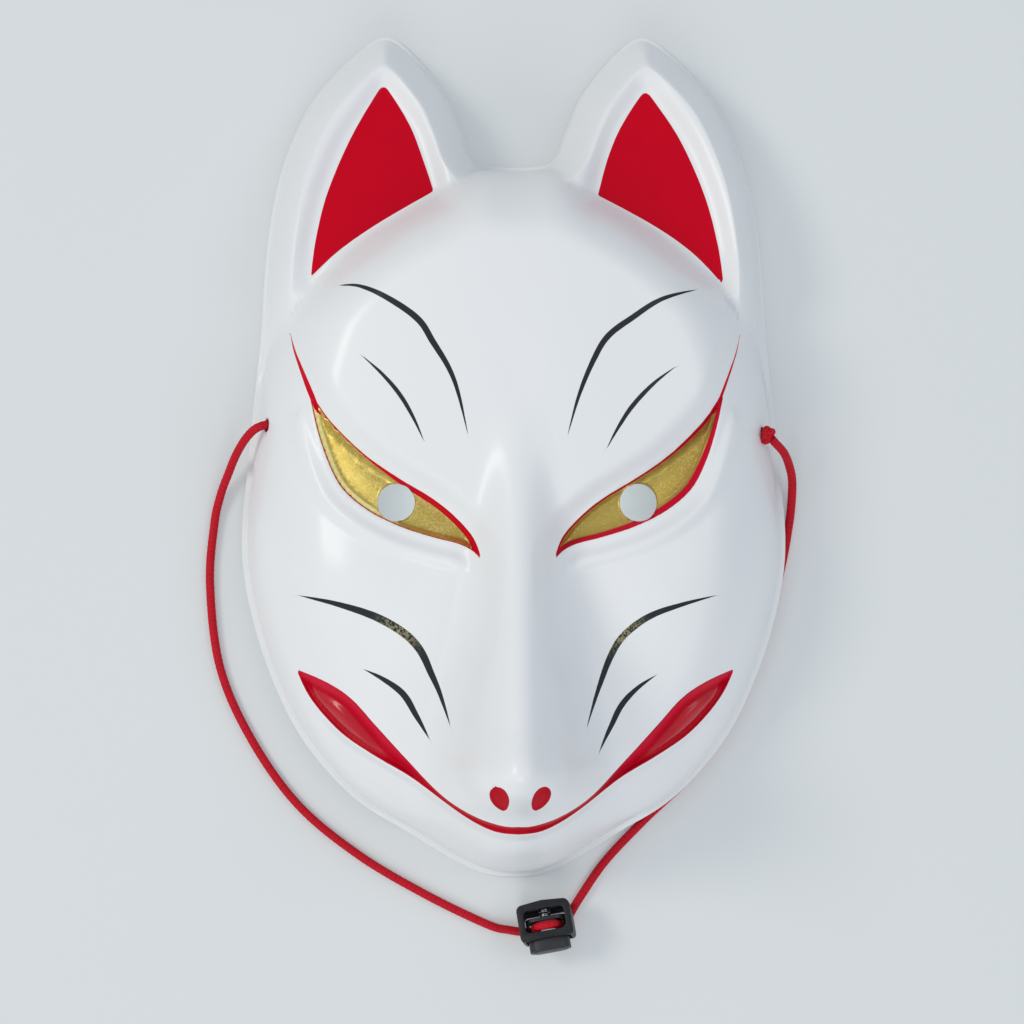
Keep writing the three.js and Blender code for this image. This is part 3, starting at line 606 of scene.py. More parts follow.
@dataclass(frozen=True)
class PaintedShell:
    """Satin white moulded plastic with red lacquer, glittering gold paint and black brush strokes; light and
    shade are painted into the eyes and the mouth.
    """

    white: Triple = (0.785, 0.80, 0.805)
    red: Triple = (0.58, 0.0, 0.014)
    # A darker red for the cloudy lacquer, and painted shade on the right eye's upper wall.
    dark_red_and_shade: Triple = (0.42, 0.0, 0.01)
    # Painted light: a brighter red for the mouth's upper wall and the right eye's lower wall.
    lit_red: Triple = (0.62, 0.006, 0.035)
    gold: Triple = (0.55, 0.42, 0.10)
    pale_gold: Triple = (0.85, 0.75, 0.32)
    gilt: Triple = (0.42, 0.38, 0.20)
    # Painted shade for the right eye's gold.
    shaded_gold: Triple = (0.24, 0.15, 0.03)
    lit_gold: Triple = (1.0, 0.92, 0.42)
    black: Triple = (0.022, 0.026, 0.030)
    rust: Triple = (0.42, 0.10, 0.03)
    soft: float = 0.07
    tremble: float = 0.11
    rough: float = 0.42
    coat: float = 0.35
    fine_bump: float = 0.00004
    fleck_scale: float = 2600.0

    def material(self) -> Any:
        """Paint by the distances that the shell's vertices carry.

        Distances and widths are in millimetres, and ramps over ax go by the distance from the midline.

        Returns:
            The material.
        """
        g = Graph("painted_shell")
        x = g.across()
        ax, right = abs(x), x.ramp(-1.0, 1.0)
        left = 1 - right
        wobble = (g.noise(420.0) - 0.5) * self.tremble

        def over(value: Signal) -> Signal:
            """1 where a distance is positive, with a soft edge."""
            return (value + wobble).ramp(-self.soft, self.soft)

        # Where each paint lies: the eyes with their red edges, the mouth, nostrils, ears and strokes
        eye_up, eye_low, mouth_up = (g.attribute(name) for name in ("eye_up", "eye_low", "mouth_up"))
        in_eye = over(g.attribute("eye_in"))
        up_width = left * (0.35 + 1.25 * (1 - ax.ramp(26.0, 48.0))) + right * (0.55 + 0.5 * ax.ramp(40.0, 55.0))
        low_width = left * 0.32 + right * (1.35 + 0.35 * ax.ramp(24.0, 46.0) - 0.7 * ax.ramp(50.0, 59.0))
        red_up, red_low = in_eye * over(up_width - eye_up), in_eye * over(low_width - eye_low)
        tail, top, low = (over(g.attribute(f"{mark}_w") - abs(g.attribute(f"{mark}_d")))
                          for mark in ("tail", "ink_top", "ink_low"))
        ink = top.most(low)
        mouth = over(g.attribute("mouth_in") + 0.22 - 0.22 * ax.ramp(8.0, 20.0))
        nostril, panel = over(g.attribute("nostril_in")), over(g.attribute("panel_in"))

        # Gold: flecks and clouds; painted shade darkens the right eye, more towards its outer end, and a
        # painted lit band runs along the left one's lower edge
        fleck = g.flecks(self.fleck_scale)
        cloud = g.noise(260.0, 3.0)
        gold = g.blend((cloud - 0.35 - right * 0.3) * 0.7 + (fleck - 0.5) * 0.6, self.gold, self.pale_gold)
        gold = g.blend(right * (0.12 + 0.42 * ax.ramp(34.0, 52.0)), gold, self.shaded_gold)
        lit = left * ax.ramp(36.0, 42.0) * (1 - abs(eye_low - 0.95).ramp(0.3, 0.75))
        gold = g.blend(lit, gold, self.lit_gold)

        # Lacquer: cloudy; painted light makes it brighter on the upper wall of the mouth's corners, and it is
        # darkest at their very edge
        lacquer = g.blend(g.noise(160.0, 3.0) * 0.5, self.dark_red_and_shade, self.red)
        wide = ax.ramp(24.0, 38.0) * mouth
        lacquer = g.blend(wide * (1 - mouth_up.ramp(1.6, 2.8)) * 0.8, lacquer, self.lit_red)
        lacquer = g.blend(wide * (1 - mouth_up.ramp(0.2, 0.6)) * 0.7, lacquer, self.dark_red_and_shade)

        # The coats one over another
        white = g.blend((g.noise(30.0) - 0.5) * 0.5 + 0.25, self.white, tuple(c * 0.97 for c in self.white))
        colour = g.blend(panel, white, g.blend(g.noise(90.0) * 0.4, self.red, self.dark_red_and_shade))
        colour = g.blend(in_eye, colour, gold)
        # Red eye walls: the left eye has a rusty lower edge; the right eye's lower wall is brighter red,
        # painted light, and its upper wall darker red, painted shade
        colour = g.blend(red_low, colour, g.blend(right, self.rust, self.lit_red))
        colour = g.blend(red_up, colour, g.blend(right, self.red, self.dark_red_and_shade))
        colour = g.blend(tail, colour, self.red)
        colour = g.blend(mouth.most(nostril), colour, lacquer)
        gilt = g.attribute("gilt") * (fleck + g.noise(1800.0) - 0.62).ramp(0.2, 0.7) * 0.7
        colour = g.blend(ink, colour, g.blend(gilt, self.black, self.gilt))

        metal = in_eye * (1 - red_up.most(red_low)) * (1 - tail) * (1 - lit)
        red = panel.most(mouth, nostril, red_up, tail)
        rough = self.rough + (g.noise(700.0, 3.0) - 0.5) * 0.10 - red * 0.05 - ink * 0.04
        rough = rough + metal * ((fleck - 0.5) * 0.25 - 0.02) + nostril * 0.3
        shine = g.attribute("cushion").ramp(0.0, 0.35) * mouth
        peel = g.bump(g.noise(1500.0), 0.25, self.fine_bump)
        film = g.bump(red.most(ink, metal), 0.5, self.fine_bump, peel)
        glitter = g.bump(fleck * metal + gilt * ink * fleck, 0.55, 3 * self.fine_bump, film)
        return g.set(Base_Color=colour, Roughness=rough, Metallic=metal * 0.75 + gilt * ink * 0.6,
                     Coat_Weight=self.coat + shine * 0.8 - red.most(in_eye) * self.coat - ink * 0.2,
                     Coat_Roughness=0.25, Normal=glitter, Specular_IOR_Level=0.08)


@dataclass(frozen=True)
class BraidedElastic:
    """Red braided elastic: two sets of crossing yarns with painted shade darkening the gaps between them, and a
    faint sheen.
    """

    red: Triple = (0.60, 0.004, 0.016)
    # Painted shade for the gaps between the yarns.
    gap_shade: Triple = (0.20, 0.0, 0.01)
    fibre_scale: float = 5200.0
    rough: float = 0.62

    def material(self) -> Any:
        """Darken the gaps between the yarns with painted shade, by the braid height that the cord's vertices
        carry.

        Returns:
            The material.
        """
        g = Graph("braided_elastic")
        fibre = g.noise(self.fibre_scale, roughness=0.6)
        # Painted shade: the low parts of the braid take a darker red
        colour = g.blend(g.attribute("yarn").ramp(0.0, 0.75) * (0.75 + 0.25 * fibre), self.gap_shade, self.red)
        return g.set(Base_Color=colour, Roughness=self.rough + (fibre - 0.5) * 0.2,
                     Normal=g.bump(fibre, 0.4, 0.00008), Sheen_Weight=0.05, Sheen_Roughness=0.4,
                     Sheen_Tint=(1.0, 0.4, 0.4), Specular_IOR_Level=0.2)


@dataclass(frozen=True)
class MouldedBlack:
    """Black moulded plastic with a fine spark-eroded grain and cloudy rubbed patches."""

    base: Triple = (0.009, 0.010, 0.013)
    worn: Triple = (0.028, 0.030, 0.034)
    cloud_scale: float = 380.0
    grain_scale: float = 4200.0
    rough: float = 0.44

    def material(self) -> Any:
        """Grain by cells and cloudy noise.

        Returns:
            The material.
        """
        g = Graph("moulded_black")
        cloud, grain = g.noise(self.cloud_scale, 4.0, 0.6), g.noise(self.grain_scale)
        colour = g.blend((cloud - 0.45).ramp(0.0, 0.35) * 0.35, self.base, self.worn)
        return g.set(Base_Color=colour, Roughness=self.rough + (cloud - 0.5) * 0.22,
                     Normal=g.bump(grain, 0.35, 0.00005), Specular_IOR_Level=0.3)


@dataclass(frozen=True)
class SpringSteel:
    """Bright drawn steel wire with faint lengthways marks."""

    base: Triple = (0.58, 0.59, 0.61)
    mark_scale: float = 3000.0
    rough: float = 0.22

    def material(self) -> Any:
        """Vary the colour and the roughness with fine noise.

        Returns:
            The material.
        """
        g = Graph("spring_steel")
        marks = g.noise(self.mark_scale, 3.0)
        colour = g.blend(marks * 0.5, self.base, tuple(0.6 * c for c in self.base))
        return g.set(Base_Color=colour, Metallic=1.0, Roughness=self.rough + marks * 0.15)


@dataclass(frozen=True)
class PaleTable:
    """A pale matt light table."""

    base: Triple = (0.53, 0.555, 0.56)
    glow: Triple = (0.93, 0.98, 1.0)
    strength: float = 0.16
    cloud_scale: float = 6.0
    rough: float = 0.75

    def material(self) -> Any:
        """A plain colour with the faintest cloud in it.

        Returns:
            The material.
        """
        g = Graph("pale_table")
        colour = g.blend(g.noise(self.cloud_scale), self.base, tuple(c * 0.985 for c in self.base))
        return g.set(Base_Color=colour, Roughness=self.rough, Specular_IOR_Level=0.2,
                     Emission_Color=self.glow, Emission_Strength=self.strength)


# Sub-assemblies

CHEEK_TOP = (((-62.9, -40.4), (-52, -42.6), (-41, -46.1), (-32.7, -50.8), (-27.8, -55.9), (-24.7, -62.5),
              (-22.1, -68.5), (-19.1, -77.5)),
             ((57.4, -40.3), (47.4, -42.8), (37.8, -46.2), (30.6, -51.6), (26.8, -57.6), (23.6, -66.2),
              (19.7, -77.9)))
CHEEK_LOW = (((-44, -61.5), (-38.3, -64.4), (-32.7, -68.6), (-29, -74.7), (-25, -81.8)),
             ((40.1, -63.2), (34.7, -66.9), (30.1, -71.8), (27, -78), (23.4, -85.3)))
BROW_TOP = (((-51, 48.8), (-45.1, 48.2), (-37, 44.5), (-28.4, 38.4), (-24.1, 31.8), (-19.7, 24.6), (-17, 17.5),
             (-14.2, 5.5)),
            ((51.8, 47.7), (41, 44.3), (32.7, 39), (25.5, 33.5), (21.2, 26.3), (17.2, 16.5), (14, 5.2)))
BROW_LOW = (((-44.4, 28.2), (-38.3, 22.6), (-33.3, 16.6), (-29.5, 10), (-26.7, 3.7)),
            ((45.1, 25.1), (38.7, 20.2), (32.6, 13.8), (28.3, 7.3), (25.2, 1.6)))


@dataclass(frozen=True)
class Stroke:
    """A brush stroke on one side: its line, its half-width, and where along it the half-width is largest."""

    line: Pairs
    half_width: float
    middle: float = 0.5
    blunt: float = 0.8
    gilded: bool = False

    def read(self, x: Array, y: Array) -> tuple[Array, Array, Array]:
        """Measure points against the stroke.

        The half-width swells as a sine from both pointed ends, bent so that it is largest at the middle.

        Args:
            x: the points' X, flat.
            y: the points' Y, flat.

        Returns:
            The signed distance across, the half-width there, and how far along.
        """
        across, along = line_distance(x, y, drawn(self.line, 8))
        bent = along ** (math.log(0.5) / math.log(self.middle))
        return across, self.half_width * np.sin(np.pi * bent) ** self.blunt, along


STROKES = (
    (Stroke(BROW_TOP[0], 0.92, 0.42), Stroke(BROW_TOP[1], 0.86, 0.45)),
    (Stroke(BROW_LOW[0], 0.62), Stroke(BROW_LOW[1], 0.66)),
    (Stroke(CHEEK_TOP[0], 1.2, 0.5, gilded=True), Stroke(CHEEK_TOP[1], 1.0, 0.5, gilded=True)),
    (Stroke(CHEEK_LOW[0], 0.95, 0.5), Stroke(CHEEK_LOW[1], 0.85, 0.5)),
)


class Side(Enum):
    """The two sides of the face, as a viewer sees them."""

    LEFT = -1
    RIGHT = 1


@dataclass
class MaskShell:
    """The moulded shell: outside, inside, rim and eye holes in one closed skin.

    The members of each set of sizes are named where a method takes them apart.
    """

    face: Face = field(default_factory=Face)
    per_span: int = 8
    rings: int = 186
    lining_rings: int = 40
    pole: float = -20.0
    crowd: float = 1.5
    ear_bend: Sizes = (13.0, 18.0, 21.0, 24.0, 0.78, 41.0, 62.0)
    eye_hole: Triple = (34.7, -13.7, 5.4)
    temple_holes: tuple[Triple, ...] = ((-72.9, 9.0, 2.0), (72.7, 7.0, 1.65))
    tuck: float = 0.03
    least: tuple[float, float] = (0.6, 0.7)
    pin: tuple[float, float, int] = (0.5, 6.0, 40)
    tail: Sizes = (0.78, 0.42, 1.35, 0.9)
    gilded: tuple[float, float] = (0.34, 0.14)
    reach: float = 3.0
    unpainted: tuple[float, float] = (9.0, -10.0)
    bare: float = -5.0
    finish: PaintedShell = PaintedShell()

    def spokes(self, rings: int, rim: Array) -> Array:
        """Spread points from the nose bridge to the rim.

        Each spoke is a quadratic Bezier from the pole to a rim point; in the ears its middle point is pulled
        to the ear's middle. Along it the points crowd towards the rim.

        Args:
            rings: points on each spoke after the pole.
            rim: the rim's points, one a spoke.

        Returns:
            The points, by ring and spoke.
        """
        count = len(rim)
        index = np.arange(count)
        station = np.minimum(index, count - index) / self.per_span
        side = np.where(index > count / 2, -1.0, 1.0)
        start, full, hold, end, pull, x, y = self.ear_bend
        weight = pull * smooth((station - start) / (full - start)) * smooth((end - station) / (end - hold))
        pole = np.array([0.0, self.pole])
        middle = (rim + pole) / 2
        bend = middle + weight[:, None] * (np.stack([side * x, np.full(count, y)], axis=1) - middle)
        t = (1 - (1 - np.arange(1, rings + 1) / rings) ** self.crowd)[:, None, None]
        return (1 - t) ** 2 * pole + 2 * t * (1 - t) * bend + t * t * rim

    def hole_centres(self) -> list[Array]:
        """The middles of the two eye holes, left and right."""
        x, y, _ = self.eye_hole
        return [np.array([side.value * x, y]) for side in Side]

    def bored(self, points: Array, faces: Array) -> tuple[Array, Array, list[Array]]:
        """Open the two eye holes in a skin.

        Faces whose middles lie inside a hole go, and the points left on their edge move out to its circle.

        Args:
            points: the skin's points in the plane, one a row.
            faces: its faces as four vertex numbers.

        Returns:
            The moved points, the faces that stay, and each hole's edge as vertex numbers in order.
        """
        points, loops, radius = points.copy(), [], self.eye_hole[2]
        for centre in self.hole_centres():
            gone = np.hypot(*(points[faces].mean(axis=1) - centre).T) < radius
            edge = np.intersect1d(faces[gone], faces[~gone])
            away = points[edge] - centre
            points[edge] = centre + away * (radius / np.hypot(*away.T))[:, None]
            faces = faces[~gone]
            turn = np.arctan2(*(points[edge] - centre).T[::-1])
            loops.append(edge[np.argsort(turn)])
        return points, faces, loops

    def zipped(self, points: Array, upper: Array, lower: Array, centre: Array) -> Array:
        """Wall a hole between its two edges.

        Both edges are walked together by angle; each step forward on one of them makes a triangle with the
        point that the other has reached.

        Args:
            points: all points in the plane.
            upper: the outer edge's vertex numbers by angle.
            lower: the inner edge's vertex numbers by angle.
            centre: the hole's middle.

        Returns:
            The triangles.
        """
        angles = [np.arctan2(*(points[loop] - centre).T[::-1]) for loop in (upper, lower)]
        reach_low = (np.searchsorted(angles[1], angles[0]) - 1) % len(lower)
        reach_up = (np.searchsorted(angles[0], angles[1], side="right") - 1) % len(upper)
        on_up = np.stack([np.roll(upper, 1), lower[reach_low], upper], axis=1)
        on_low = np.stack([np.roll(lower, 1), lower, upper[reach_up]], axis=1)
        return np.vstack([on_up, on_low])

    def build(self) -> Any:
        """Make the skin: the carved outside, the flat foot of the rim, the smooth lining and the holes' walls.

        Returns:
            The shell's object.
        """
        face, rim = self.face, self.face.rim_line
        count = len(rim)
        along = np.roll(rim, -1, 0) - np.roll(rim, 1, 0)
        inward = np.stack([-along[:, 1], along[:, 0]], axis=1) / np.hypot(*along.T)[:, None]
        inner_rim = rim + inward * face.wall

        def skin(rings: int, edge: Array) -> tuple[Array, Array, list[Array], Array]:
            """A fan of rings with its eye holes: points, faces, hole edges and outer ring. A face at the fan's
            middle starts and ends with the middle's number, so that each face has four."""
            points = np.vstack([[[0.0, self.pole]], self.spokes(rings, edge).reshape(-1, 2)])
            ring = 1 + np.arange(rings * count).reshape(rings, count)
            hub = np.zeros(count, int)
            faces = [np.stack([hub, ring[0], np.roll(ring[0], -1), hub], axis=1)]
            faces += [strip(a, b) for a, b in zip(ring[:-1], ring[1:])]
            return (*self.bored(points, np.vstack(faces)), ring[-1])

        outside, top_faces, top_loops, top_edge = skin(self.rings, rim)
        lining, low_faces, low_loops, low_edge = skin(self.lining_rings, inner_rim)
        shift = len(outside)
        over_foot, under_face = self.least
        u, v = lining.T
        under = np.maximum(face.lining(u, v), face.rise(v) + over_foot)
        under = np.minimum(under, face.coarse(u, v) - under_face)
        foot = shift + len(lining) + np.arange(2 * count)
        foot_points = np.vstack([rim, inner_rim])
        plane = np.vstack([outside, lining, foot_points])
        tall = np.concatenate([face.fine(*outside.T) - self.tuck, under, face.rise(foot_points[:, 1])])
        quads = np.vstack([top_faces, low_faces[:, ::-1] + shift, strip(top_edge, foot[:count]),
                           strip(foot[:count], foot[count:]), strip(foot[count:], low_edge + shift)])
        walls = np.vstack([self.zipped(plane, upper, lower + shift, centre)
                           for centre, upper, lower in zip(self.hole_centres(), top_loops, low_loops)])
        fan = quads[:, 0] == quads[:, 3]
        used = np.unique(np.concatenate([quads.ravel(), walls.ravel()]))
        number = np.full(len(plane), -1)
        number[used] = np.arange(len(used))
        faces = [row for part in (quads[~fan], quads[fan, 1:], walls) for row in number[part].tolist()]
        piece = new_object("mask_skin", np.column_stack([plane, tall])[used], faces)
        for name, values in self.fields(*outside.T).items():
            whole = np.full(len(plane), self.bare)
            whole[:shift] = values
            give(piece, name, whole[used])
        self.drill(piece)
        return piece

    def drill(self, piece: Any) -> None:
        """Cut the two temple holes: round pins across the wall, along the face's own slope there.

        Args:
            piece: the skin, whose mesh is replaced.
        """
        near, long, sides = self.pin
        step = near * np.array([[-1, 0], [1, 0], [0, -1], [0, 1], [0, 0]])
        pins = []
        for hole_x, hole_y, radius in self.temple_holes:
            west, east, south, north, height = self.face.coarse(*(step + (hole_x, hole_y)).T)
            normal = np.array([west - east, south - north, 1.0])
            normal /= np.linalg.norm(normal)
            middle = np.array([hole_x, hole_y, height])
            line = np.stack([middle - long * normal, middle, middle + long * normal])
            pin = new_object("temple_pin", tube(line, radius, sides), tube_faces(len(line), sides))
            cut = piece.modifiers.new("temple_hole", "BOOLEAN")
            cut.operation, cut.solver, cut.object = "DIFFERENCE", "EXACT", pin
            pins.append(pin)
        cut_piece = piece.evaluated_get(bpy.context.evaluated_depsgraph_get())
        piece.data = bpy.data.meshes.new_from_object(cut_piece)
        piece.modifiers.clear()
        for pin in pins:
            bpy.data.objects.remove(pin)

    def fields(self, x: Array, y: Array) -> dict[str, Array]:
        """Work out the painted marks as distances.

        Args:
            x: the outside points' X, flat.
            y: the outside points' Y, flat.

        Returns:
            Numbers for each point, by name: distances into the eye, mouth, nostril and ear panel, distances
            from the eye's two edges, and the distance across and half-width of the nearest stroke.
        """
        face, ax, left = self.face, np.abs(x), x < 0
        eye = face.in_eye(x, y)
        sign = np.where(eye > 0, 1.0, -1.0)
        out = {"eye_in": eye, "mouth_in": face.in_mouth(x, y), "mouth_up": off(ax, y, face.mouth_top),
               "eye_up": sign * off(ax, y, face.eye_top), "eye_low": sign * off(ax, y, face.eye_foot),
               "nostril_in": face.nostril_in(x, y), "cushion": face.cushion(x, y),
               "panel_in": np.where(left, *(inside(ax, y, face.panel(p, 3)) for p in PAINTED_PANELS))}
        away, nowhere = self.unpainted
        left_width, right_width, taper, blunt = self.tail
        across, along = line_distance(ax, y, drawn(TAIL, 8))
        swell = np.where(left, left_width, right_width) * np.minimum(1.0, taper * (1 - along)) ** blunt
        swell = np.where(np.abs(across) < self.reach, swell * (along < 1.0), nowhere)
        out.update({"tail_d": across, "tail_w": swell, "gilt": np.zeros(len(x))})
        start, fade = self.gilded
        for row, pairs in (("top", STROKES[::2]), ("low", STROKES[1::2])):
            across_all, width_all = np.full(len(x), away), np.full(len(x), nowhere)
            for side, stroke in ((side, stroke) for pair in pairs for side, stroke in zip(Side, pair)):
                across, width, along = stroke.read(x, y)
                near = (np.abs(across) < self.reach) & (np.sign(x) == side.value)
                across_all, width_all = np.where(near, across, across_all), np.where(near, width, width_all)
                if stroke.gilded:
                    gold = smooth((along - start) / fade) * smooth((1 - start - along) / fade)
                    out["gilt"] = np.where(near, gold, out["gilt"])
            out.update({f"ink_{row}_d": across_all, f"ink_{row}_w": width_all})
        return out

    def dress(self, piece: Any) -> None:
        """Paint the shell and let it stand for its solid."""
        finished(piece, self.finish, "mask", "shell", "mask_shell")


@dataclass(frozen=True)
class LockPose:
    """Where the lock lies: its origin in millimetres, and its turn, tilt and roll in degrees."""

    origin: Triple = (11.56, -148.0, 5.72)
    turn: float = 9.5
    tilt: float = 16.0
    roll: float = 5.0
    depth: float = 10.0

    def matrix(self) -> Array:
        """The lock's frame as a four by four matrix."""
        turn, tilt, roll = (math.radians(a) for a in (self.turn, -self.tilt, -self.roll))
        whole = (Matrix.Translation(self.origin) @ Matrix.Rotation(turn, 4, "Z") @ Matrix.Rotation(tilt, 4, "X")
                 @ Matrix.Rotation(roll, 4, "Y"))
        return np.array(whole)

    def place(self, points: Array) -> Array:
        """Bring points from the lock's frame into the mask's."""
        m = self.matrix()
        return np.asarray(points, float) @ m[:3, :3].T + m[:3, 3]


# The elastic's route in metres, and its bight in the lock's frame in millimetres

FLOOR_LINE = 0.00133
LEFT_ROUTE = (
    (-0.0711, 0.0092, 0.0156), (-0.0734, 0.0091, 0.0164), (-0.0764, 0.0078, 0.0164),
    (-0.0794, 0.0048, 0.0136), (-0.0823, 0.0003, 0.0091), (-0.0848, -0.0052, 0.0049),
    (-0.0872, -0.0115, 0.0027), (-0.0891, -0.02, 0.00155), (-0.0904, -0.038, FLOOR_LINE),
    (-0.0875, -0.0623, FLOOR_LINE), (-0.0786, -0.0832, FLOOR_LINE),
    (-0.0646, -0.1032, FLOOR_LINE), (-0.0466, -0.1183, FLOOR_LINE), (-0.0265, -0.1303, FLOOR_LINE),
    (-0.008, -0.1393, FLOOR_LINE))
LOOP_START = ((-0.0015, -0.141, 0.00138),)
BIGHT = (
    (-7.6, 8.6, -1.4), (-4.5, 7.9, -0.3), (-3.25, 7.75, 2.5), (-3.65, 7.75, 5.9), (-2.6, 7.75, 8.4),
    (0, 7.75, 9.45), (2.6, 7.75, 8.4), (3.65, 7.75, 5.9), (3.3, 7.9, 2.5), (4.6, 8.7, -0.3))
LOOP_END = ((0.0166, -0.1366, 0.0015), (0.02, -0.131, 0.00136))
RIGHT_ROUTE = (
    (0.0274, -0.1204, FLOOR_LINE), (0.0389, -0.1083, FLOOR_LINE), (0.0536, -0.0938, FLOOR_LINE),
    (0.0662, -0.0744, FLOOR_LINE), (0.0754, -0.05, FLOOR_LINE), (0.0799, -0.033, FLOOR_LINE),
    (0.0821, -0.021, 0.00145), (0.0829, -0.0136, 0.0023), (0.08275, -0.007, 0.0054), (0.0814, -0.0026, 0.0097),
    (0.0793, 0.0011, 0.0146), (0.0764, 0.00395, 0.0179))


@dataclass
class Braided:
    """A piece of braided elastic: a round section carried along a line, with the braid raised on it."""

    radius: float = 1.3
    sides: int = 24
    pitch: float = 3.4
    strands: int = 4
    relief: float = 0.10
    finish: BraidedElastic = BraidedElastic()

    def wound(self, name: str, line: Array) -> Any:
        """Carry the section along a line.

        The braid's height, from 0 to 1, is the root of the size of the product of two crossing helical waves.

        Args:
            name: the piece's name.
            line: its middle line's points in millimetres, one a row.

        Returns:
            The piece's object.
        """
        around = self.strands * 2 * np.pi * np.arange(self.sides)[None, :] / self.sides
        twist = 2 * np.pi * travelled(line)[:, None] / self.pitch
        yarn = np.sqrt(np.abs(np.sin(around + twist) * np.sin(around - twist)))
        points = tube(line, self.radius * (1 - self.relief * (1 - yarn)), self.sides)
        piece = new_object(name, points, tube_faces(len(line), self.sides))
        give(piece, "yarn", yarn.ravel())
        return piece


@dataclass
class Elastic(Braided):
    """The head cord: one braided elastic from the left temple hole through the lock to the right temple."""

    lock: LockPose = LockPose()
    step: float = 0.4
    per_span: int = 24
    run_on: float = 0.4

    def line(self) -> Array:
        """The cord's middle line in millimetres: one smooth curve through its route, run on into both knots."""
        parts = (LEFT_ROUTE, LOOP_START, LOOP_END, RIGHT_ROUTE)
        left, start, end, right = (np.array(part) / MM for part in parts)
        first = left[:1] + (left[:1] - left[1:2]) * self.run_on
        last = right[-1:] + (right[-1:] - right[-2:-1]) * self.run_on
        route = np.vstack([first, left, start, self.lock.place(np.array(BIGHT)), end, right, last])
        return resampled(drawn(route, self.per_span), self.step)

    def build(self) -> Any:
        """Wind the cord.

        Returns:
            The cord's object.
        """
        line = self.line()
        piece = self.wound("elastic_cord", line)
        return piece

    def dress(self, piece: Any) -> None:
        """Give the braid its colour and let it stand for its three solids."""
        finished(piece, self.finish, "mask", "elastic", "cord_left_run", "cord_lock_loop", "cord_right_run")


@dataclass
class Knot(Braided):
    """An overhand knot: a cord of the elastic's own thickness, drawn tight, wound as a trefoil."""

    radius: float = 1.0
    sides: int = 16
    pitch: float = math.pi
    relief: float = 0.0
    name: str = "knot_inside"
    node: str = "cord_knot_left"
    centre: Triple = (-68.75, 8.75, 14.5)
    angles: Triple = (20.0, 60.0, 15.0)
    size: Triple = (0.42, 0.45, 0.42)
    samples: int = 140

    def build(self) -> Any:
        """Wind the knot.

        The line is the trefoil: sin t plus twice sin 2t, cos t less twice cos 2t, and minus sin 3t.

        Returns:
            The knot's object.
        """
        t = np.linspace(0.0, 2 * np.pi, self.samples)
        line = np.stack([np.sin(t) + 2 * np.sin(2 * t), np.cos(t) - 2 * np.cos(2 * t), -np.sin(3 * t)], axis=1)
        turn = np.array(Euler([math.radians(a) for a in self.angles]).to_matrix())
        return self.wound(self.name, (line * np.array(self.size)) @ turn.T + np.array(self.centre))

    def dress(self, piece: Any) -> None:
        """Give the knot the elastic's finish and let it stand for its solid."""
        finished(piece, self.finish, "mask", "elastic", self.node)


@dataclass
class CordLock:
    """The spring cord lock: barrel and plunger with softened edges, and a coiled spring."""

    pose: LockPose
    edge: float = 0.22
    weld: float = 1e-6
    angles: Triple = (2.0, 40.0, 35.0)
    coil_radius: float = 1.45
    wire: float = 0.26
    turns: float = 3.5
    closed: float = 0.08
    samples: int = 220
    sides: int = 8
    spring: tuple[float, float] = (10.75, 13.1)
    seat: float = 13.4
    squeeze: float = 0.4
    plastic: MouldedBlack = MouldedBlack()
    button: MouldedBlack = MouldedBlack((0.024, 0.026, 0.031), (0.05, 0.052, 0.058))
    steel: SpringSteel = SpringSteel()

    def softened(self, node: str, name: str) -> Any:
        """Copy a solid with its flat faces joined and its edges rounded.

        Args:
            node: the solid's node.
            name: the copy's name.

        Returns:
            The copy.
        """
        flat, corner, shaded = (math.radians(angle) for angle in self.angles)
        mesh = bmesh.new()
        mesh.from_mesh(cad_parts[node].data)
        bmesh.ops.remove_doubles(mesh, verts=mesh.verts, dist=self.weld)
        bmesh.ops.dissolve_limit(mesh, angle_limit=flat, verts=mesh.verts, edges=mesh.edges)
        sharp = [e for e in mesh.edges if len(e.link_faces) == 2 and e.calc_face_angle(0.0) > corner]
        bmesh.ops.bevel(mesh, geom=sharp, offset=self.edge * MM, segments=3, profile=0.5, affect="EDGES",
                        clamp_overlap=True)
        data = bpy.data.meshes.new(name)
        mesh.to_mesh(data)
        mesh.free()
        data.shade_smooth()
        data.set_sharp_from_angle(angle=shaded)
        return linked(name, data)

    def coil(self) -> Any:
        """Wind the spring: a helix along the plunger's axis, closed to a half turn at each end.

        Returns:
            The spring's object.
        """
        low, high = self.spring
        t = np.linspace(0.0, 1.0, self.samples)
        turn = 2 * np.pi * self.turns * t
        climb = smooth((t - self.closed) / (1 - 2 * self.closed))
        rise = low + self.wire + (high - low - 2 * self.wire) * climb
        line = np.stack([self.coil_radius * np.cos(turn), rise,
                         self.pose.depth / 2 + self.coil_radius * np.sin(turn)], axis=1)
        points = tube(self.pose.place(line), self.wire, self.sides)
        return new_object("lock_spring_coil", points, tube_faces(len(line), self.sides))

    def build(self) -> list[Any]:
        """Make the three pieces."""
        solids = [self.softened(node, f"{node}_soft") for node in ("lock_barrel", "lock_plunger")]
        return [*solids, self.coil()]

    def dress(self, pieces: list[Any]) -> None:
        """Finish the pieces, and give the spring its own mesh."""
        barrel, plunger, coil = pieces
        finished(barrel, self.plastic, "mask", "lock", "lock_barrel")
        finished(plunger, self.button, "plunger", "lock", "lock_plunger")
        finished(coil, self.steel, "mask", "spring", "lock_spring")
        axis = self.pose.matrix()[:3, 1]
        anchor = self.pose.place(np.array([0.0, self.seat, self.pose.depth / 2])) * MM
        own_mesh(coil)


